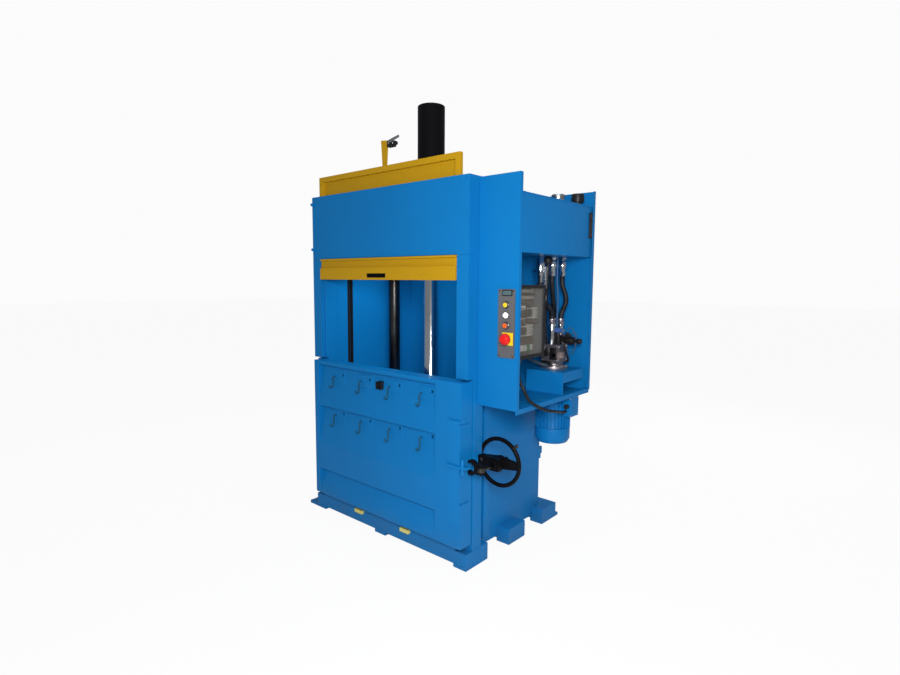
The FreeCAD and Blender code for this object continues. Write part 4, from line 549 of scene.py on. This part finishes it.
def pump_details():
    ring = Piece("pump_ring", "chrome")
    ring.turned((PUMP_X, PUMP_Y, PUMP_FOOT), "Z", [(64, 0), (67, 0), (69, 2), (69, 7), (67, 9), (64, 9)], 48)
    ring.place()
    heads = Piece("pump_bolts", "zinc")
    heads.bolts(circle((PUMP_X, PUMP_Y, PUMP_FOOT), 78, 8, 0.39), "Z", 5)
    heads.screws([(845, y, z) for y in (205, 295) for z in (1146, 1232)], "X", 6)
    heads.screws([(x, 190, z) for x in (737, 833) for z in (1146, 1232)], "-Y", 6)
    heads.nut((845, 272, 1212), "X", 13, 9)
    heads.nut((770, 236, 1330), "-Y", 11, 9)
    heads.nut((838, 262, 1333), "X", 9, 12)
    heads.nut((822, 190, 1180), "-Y", 14, 8)
    heads.place()
    body = Piece("pump_cover", "casting")
    body.turned((756, 190, 1196), "-Y", [(0, 0), (29, 0), (29, 8), (26, 11), (18, 12), (16, 22), (0, 22)], 32)
    body.block((730, 806), (180, 191), (1118, 1140), 3)
    body.block((790, 838), (182, 191), (1150, 1226), 2)
    body.block((806, 842), (206, 246), (1244, 1302), 3)
    body.turned((824, 226, 1302), "Z", [(0, 0), (12, 0), (12, 8), (9, 10), (9, 18), (0, 18)])
    body.turned((744, 262, 1244), "Z", [(0, 0), (16, 0), (16, 40), (12, 46), (0, 46)])
    body.place()
    tube = Piece("case_pipe", "casting")
    tube.swept([(846, 226, 1262), (866, 226, 1258), (864, 244, 1212), (864, 286, 1160), (864, 292, 1136),
                (846, 292, 1130)], 7)
    tube.place()
    cables = Piece("unit_cables", "lead")
    cables.swept([(800, 170, 1112), (800, 150, 1112), (780, 122, 1120), (742, 108, 1132), (730, 60, 1150),
                  (744, -40, 1190), (768, -90, 1240), (768, -124, 1240)], 4)
    cables.swept([(784, 168, 1120), (774, 146, 1124), (738, 110, 1142), (720, 60, 1164),
                  (730, -40, 1200), (788, -90, 1250), (788, -124, 1250)], 4)
    cables.place()


def valve_details():
    crimps = Piece("hose_crimps", "pale_zinc")
    for x, y in HOSE_ENDS:
        crimps.nut((x, y, 1368), "Z", 23.5, 16)
        ribs = [(0, 0), (20, 0), (21, 3), (18, 6), (21, 9), (18, 12), (21, 15), (20, 20), (0, 20)]
        crimps.turned((x, y, 1384), "Z", ribs)
    crimps.place()
    plug = Piece("valve_connector", "connector")
    plug.block((776, 828), (234, 259), (1316, 1346), 5)
    plug.block((784, 820), (230, 240), (1322, 1340), 3)
    plug.nut((828, 247, 1331), "X", 9, 12, 20)
    plug.place()
    coil = Piece("coil_connector", "black_plastic")
    coil.block((852, 886), (254, 284), (1288, 1312), 4)
    coil.nut((869, 262, 1312), "Z", 8, 10, 20)
    coil.place()
    lead = Piece("solenoid_leads", "lead")
    lead.swept([(869, 262, 1318), (869, 262, 1340), (880, 264, 1354), (898, 272, 1346), (908, 284, 1318),
                (908, 296, 1262), (903, 300, 1214), (884, 300, 1184), (864, 296, 1178), (844, 290, 1178)], 2)
    lead.swept([(869, 268, 1300), (888, 268, 1304), (897, 276, 1324), (912, 286, 1322), (916, 296, 1290),
                (912, 302, 1240), (892, 306, 1212), (864, 302, 1200), (844, 296, 1200)], 1.8)
    lead.place()


def cabinet_contents():
    """Switchgear behind the window: breakers, contactors, terminals and their wires."""
    light, dark = Piece("breakers", "case_light"), Piece("contactors", "case_dark")
    pale, green = Piece("terminals", "terminal"), Piece("earth_terminals", "case_green")
    wires = Piece("wires", "wire_brown")
    for k in range(11):
        y = -388 + 21.5 * k
        light.block((845, 878), (y, y + 20), (1540, 1596), 1.5)
        dark.block((876, 890), (y + 6, y + 14), (1560, 1576), 1.5)
        pale.nut((878, y + 10, 1589), "X", 4, 2, 16)
        wires.swept([(872, y + 10, 1541), (886, y + 10 + 4 * math.sin(k), 1528),
                     (880, y + 14, 1512), (868, y + 6, 1500)], 2.4)
    for y, z, body in ((-380, 1432, dark), (-318, 1428, dark), (-256, 1432, dark), (-194, 1430, light),
                       (-380, 1338, dark), (-310, 1334, dark), (-240, 1336, light)):
        body.block((845, 896), (y, y + 52), (z, z + 66), 3)
        body.block((890, 908), (y + 10, y + 42), (z + 16, z + 50), 3)
        for step in (8, 26, 44):
            pale.nut((896, y + step, z + 58), "X", 4, 3, 16)
            pale.nut((896, y + step, z + 8), "X", 4, 3, 16)
            wires.swept([(892, y + step, z + 2), (908, y + step - 3, z - 12),
                         (900, y + step + 5, z - 24), (872, y + step, z - 34)], 2.6)
    for k in range(21):
        y = -390 + 11 * k
        rail = green if k in (15, 16, 17) else pale if k % 4 else light
        rail.block((845, 884), (y, y + 9.5), (1252, 1284), 1.2)
        wires.swept([(868, y + 5, 1284), (886, y + 5, 1296), (880, y + 9, 1310), (860, y + 5, 1322)], 2.2)
    pale.block((845, 900), (-300, -268), (1492, 1506), 2)
    for piece in (light, dark, pale, green, wires):
        piece.place()


def cabinet_trim():
    lock = Piece("cabinet_lock", "zinc", "cabinet_door")
    lock.turned((936, -404, 1419), "X", [(0, 0), (10, 0), (10, 3), (8, 5), (4, 5), (3.4, 2), (0, 2)])
    lock.place()
    gasket = Piece("window_gasket", "black_plastic", "cabinet_door")
    low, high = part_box("cabinet_window")
    y, z = (low.y / MM + 8, high.y / MM - 8), (low.z / MM + 8, high.z / MM - 8)
    corners = [(930, y[0], z[0]), (930, y[1], z[0]), (930, y[1], z[1]), (930, y[0], z[1])]
    for start, end in zip(corners, corners[1:] + corners[:1]):
        gasket.swept([start, end], 3)
    gasket.place()


def panel_details():
    plate = Piece("stop_plate", "yellow_plastic")
    low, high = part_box("estop_head")
    x, z = (low.x + high.x) / 2 / MM, (low.z + high.z) / 2 / MM
    for side in (-1, 1):
        across = sorted((side * PLATE_HOLE, side * PLATE_HALF))
        plate.block([x + reach for reach in across], (-436, -432.5), around(z, PLATE_HALF), 0.2)
        plate.block(around(x, PLATE_HOLE), (-436, -432.5), [z + reach for reach in across], 0.2)
    plate.place()
    rings = Piece("button_rings", "dark")
    for z in (1514, 1405, 1459.5):
        ring = [(15, 0), (19.5, 0), (19.5, 3), (17.5, 4.5), (15, 4.5)]
        rings.turned((BUTTON_X, PANEL_FRONT, z), "-Y", ring, 32)
    rings.screws([(x, PANEL_FRONT, z) for x in (840, 928) for z in (1242, 1588)], "-Y", 4)
    rings.place()
    frame_piece = Piece("display_frame", "black_plastic")
    frame_piece.block((858, 922), (-437, -432), (1561, 1594), 2)
    frame_piece.place()
    screen = Piece("display", "display")
    screen.block((863, 917), (-438.5, -435), (1566, 1589), 1)
    screen.place()


def motor_details():
    plug = Piece("terminal_plugs_and_shade_block", "black_plastic")
    plug.nut((917, 198, 866), "-Y", 15, 21, 24)
    plug.nut((917, 180, 866), "-Y", 11, 8)
    # Painted shade: a flat dark block on top of the terminal box stands in for the shadow gap under the shelf
    # lip.
    plug.block((902, 938), (196, 282), (931, 942), 3)
    plug.place()
    screws = Piece("motor_screws", "zinc")
    screws.screws([(938.5, y, z) for y in (190, 288) for z in (812, 920)], "X", 5)
    screws.bolts(circle((PUMP_X, PUMP_Y, 944), 112, 4, 0.4), "-Z", 6)
    screws.screws(circle((PUMP_X, PUMP_Y, 706), 96, 4, 0.8), "Z", 5)
    screws.place()
    plate = Piece("motor_plate", "plate")
    plate.block((668.5, 671.5), (218, 282), (806, 850), 0.8)
    plate.place()


def latch_details():
    stub = Piece("wheel_stub", "spinner", "handwheel")
    stub.turned((896, -355, 721), (1, 0, 1), [(0, 0), (8, 0), (9, 6), (10.5, 22), (9, 31), (5, 36), (0, 37)])
    stub.place()
    hub = Piece("hub_grease", "zinc", "handwheel")
    hub.turned((800, -385, 625), "-Y", [(20, 0), (28, 0), (29, 2), (28, 4), (20, 4)], 32)
    hub.nut((800, -417, 625), "-Y", 15, 8)
    hub.place()
    bracket = Piece("bracket_bolts", "casting")
    bracket.bolts([(720, -415.5, z) for z in (580, 640)], "-Y", 8)
    bracket.place()
    screws = Piece("switch_screws", "zinc", "gate")
    screws.screws([(x, -501.5, 2450) for x in (62, 98)], "-Y", 3.5)
    screws.place()


# ---------------------------------------------------------------- stage, light and camera

def camera():
    yaw, pitch, roll = CAMERA_YAW, CAMERA_PITCH, CAMERA_ROLL
    ahead = Vector((-math.sin(yaw) * math.cos(pitch), math.cos(yaw) * math.cos(pitch), -math.sin(pitch)))
    right = Vector((math.cos(yaw), math.sin(yaw), 0))
    up = right.cross(ahead)
    side = math.cos(roll) * right + math.sin(roll) * up
    top = math.cos(roll) * up - math.sin(roll) * right
    data = bpy.data.cameras.new("camera")
    data.lens = CAMERA_LENS
    data.sensor_width = 36.0
    data.clip_end = 200.0
    made = bpy.data.objects.new("camera", data)
    made.matrix_world = Matrix.Translation(CAMERA_AT) @ Matrix((side, top, -ahead)).transposed().to_4x4()
    bpy.context.scene.collection.objects.link(made)
    bpy.context.scene.camera = made


def lamp(name, at, towards, size, watts, mirrored=True):
    """Soft rectangular lamp that the camera doesn't see."""
    data = bpy.data.lights.new(name, "AREA")
    data.shape = "RECTANGLE"
    data.size, data.size_y = size
    data.energy = watts
    made = bpy.data.objects.new(name, data)
    made.location = at
    made.visible_camera = False
    made.visible_glossy = mirrored
    made.rotation_euler = (Vector(towards) - Vector(at)).to_track_quat("-Z", "Y").to_euler()
    bpy.context.scene.collection.objects.link(made)


def background_rays(tree):
    """1 for the rays that should see the plain white background."""
    path = tree.nodes.new("ShaderNodeLightPath")
    either = tree.nodes.new("ShaderNodeMath")
    either.operation = "MAXIMUM"
    tree.links.new(path.outputs["Is Camera Ray"], either.inputs[0])
    tree.links.new(path.outputs["Is Transmission Ray"], either.inputs[1])
    return either.outputs["Value"]


def background():
    world = bpy.data.worlds.new("world")
    bpy.context.scene.world = world
    world.use_nodes = True
    tree = world.node_tree
    tree.nodes.clear()
    soft, plain = tree.nodes.new("ShaderNodeBackground"), tree.nodes.new("ShaderNodeBackground")
    soft.inputs["Color"].default_value = (0.90, 0.95, 1.0, 1)
    soft.inputs["Strength"].default_value = SOFT_LIGHT
    plain.inputs["Strength"].default_value = PLAIN_WHITE
    plain.inputs["Color"].default_value = (1, 1, 1, 1)
    mix, out = tree.nodes.new("ShaderNodeMixShader"), tree.nodes.new("ShaderNodeOutputWorld")
    tree.links.new(background_rays(tree), mix.inputs["Fac"])
    tree.links.new(soft.outputs[0], mix.inputs[1])
    tree.links.new(plain.outputs[0], mix.inputs[2])
    tree.links.new(mix.outputs[0], out.inputs["Surface"])


def ground():
    mesh = bpy.data.meshes.new("floor")
    half = FLOOR_HALF
    corners = [(-half, -half, 0), (half, -half, 0), (half, half, 0), (-half, half, 0)]
    mesh.from_pydata(corners, [], [(0, 1, 2, 3)])
    floor = bpy.data.objects.new("floor", mesh)
    bpy.context.scene.collection.objects.link(floor)
    material = bpy.data.materials.new("pale_floor")
    material.use_nodes = True
    tree = material.node_tree
    tree.nodes["Principled BSDF"].inputs["Base Color"].default_value = (0.80, 0.80, 0.80, 1)
    tree.nodes["Principled BSDF"].inputs["Roughness"].default_value = 0.9
    glow, mix = tree.nodes.new("ShaderNodeEmission"), tree.nodes.new("ShaderNodeMixShader")
    share = tree.nodes.new("ShaderNodeMath")
    share.operation = "MULTIPLY"
    share.inputs[1].default_value = FLOOR_WHITE
    tree.links.new(background_rays(tree), share.inputs[0])
    tree.links.new(share.outputs[0], mix.inputs["Fac"])
    tree.links.new(tree.nodes["Principled BSDF"].outputs[0], mix.inputs[1])
    tree.links.new(glow.outputs[0], mix.inputs[2])
    tree.links.new(mix.outputs[0], tree.nodes["Material Output"].inputs["Surface"])
    mesh.materials.append(material)


def lights():
    lamp("key", (2.65, -2.8, 2.0), (0.3, -0.4, 1.1), (0.8, 0.8), 122)
    lamp("fill", (-3.2, -3.8, 2.2), (0.0, 0.0, 1.0), (2.0, 2.0), 10, False)
    lamp("top", (0.8, -0.6, 5.4), (0.2, 0.0, 1.0), (3.0, 3.0), 50)
    lamp("rear", (1.5, 4.5, 3.0), (0.2, 0.0, 1.2), (3.0, 2.0), 90, False)
    lamp("chamber", (-0.05, -0.34, 1.86), (0.1, 0.3, 1.2), (0.7, 0.15), 5.5, False)


def dress_pieces():
    for dress in (frame_fasteners, tank_details, tank_fittings, pump_details, valve_details, cabinet_contents,
                  cabinet_trim, panel_details, motor_details, latch_details):
        dress()


dress_nodes()
dress_pieces()
background()
ground()
lights()
camera()
bpy.context.scene.view_settings.view_transform = "Standard"
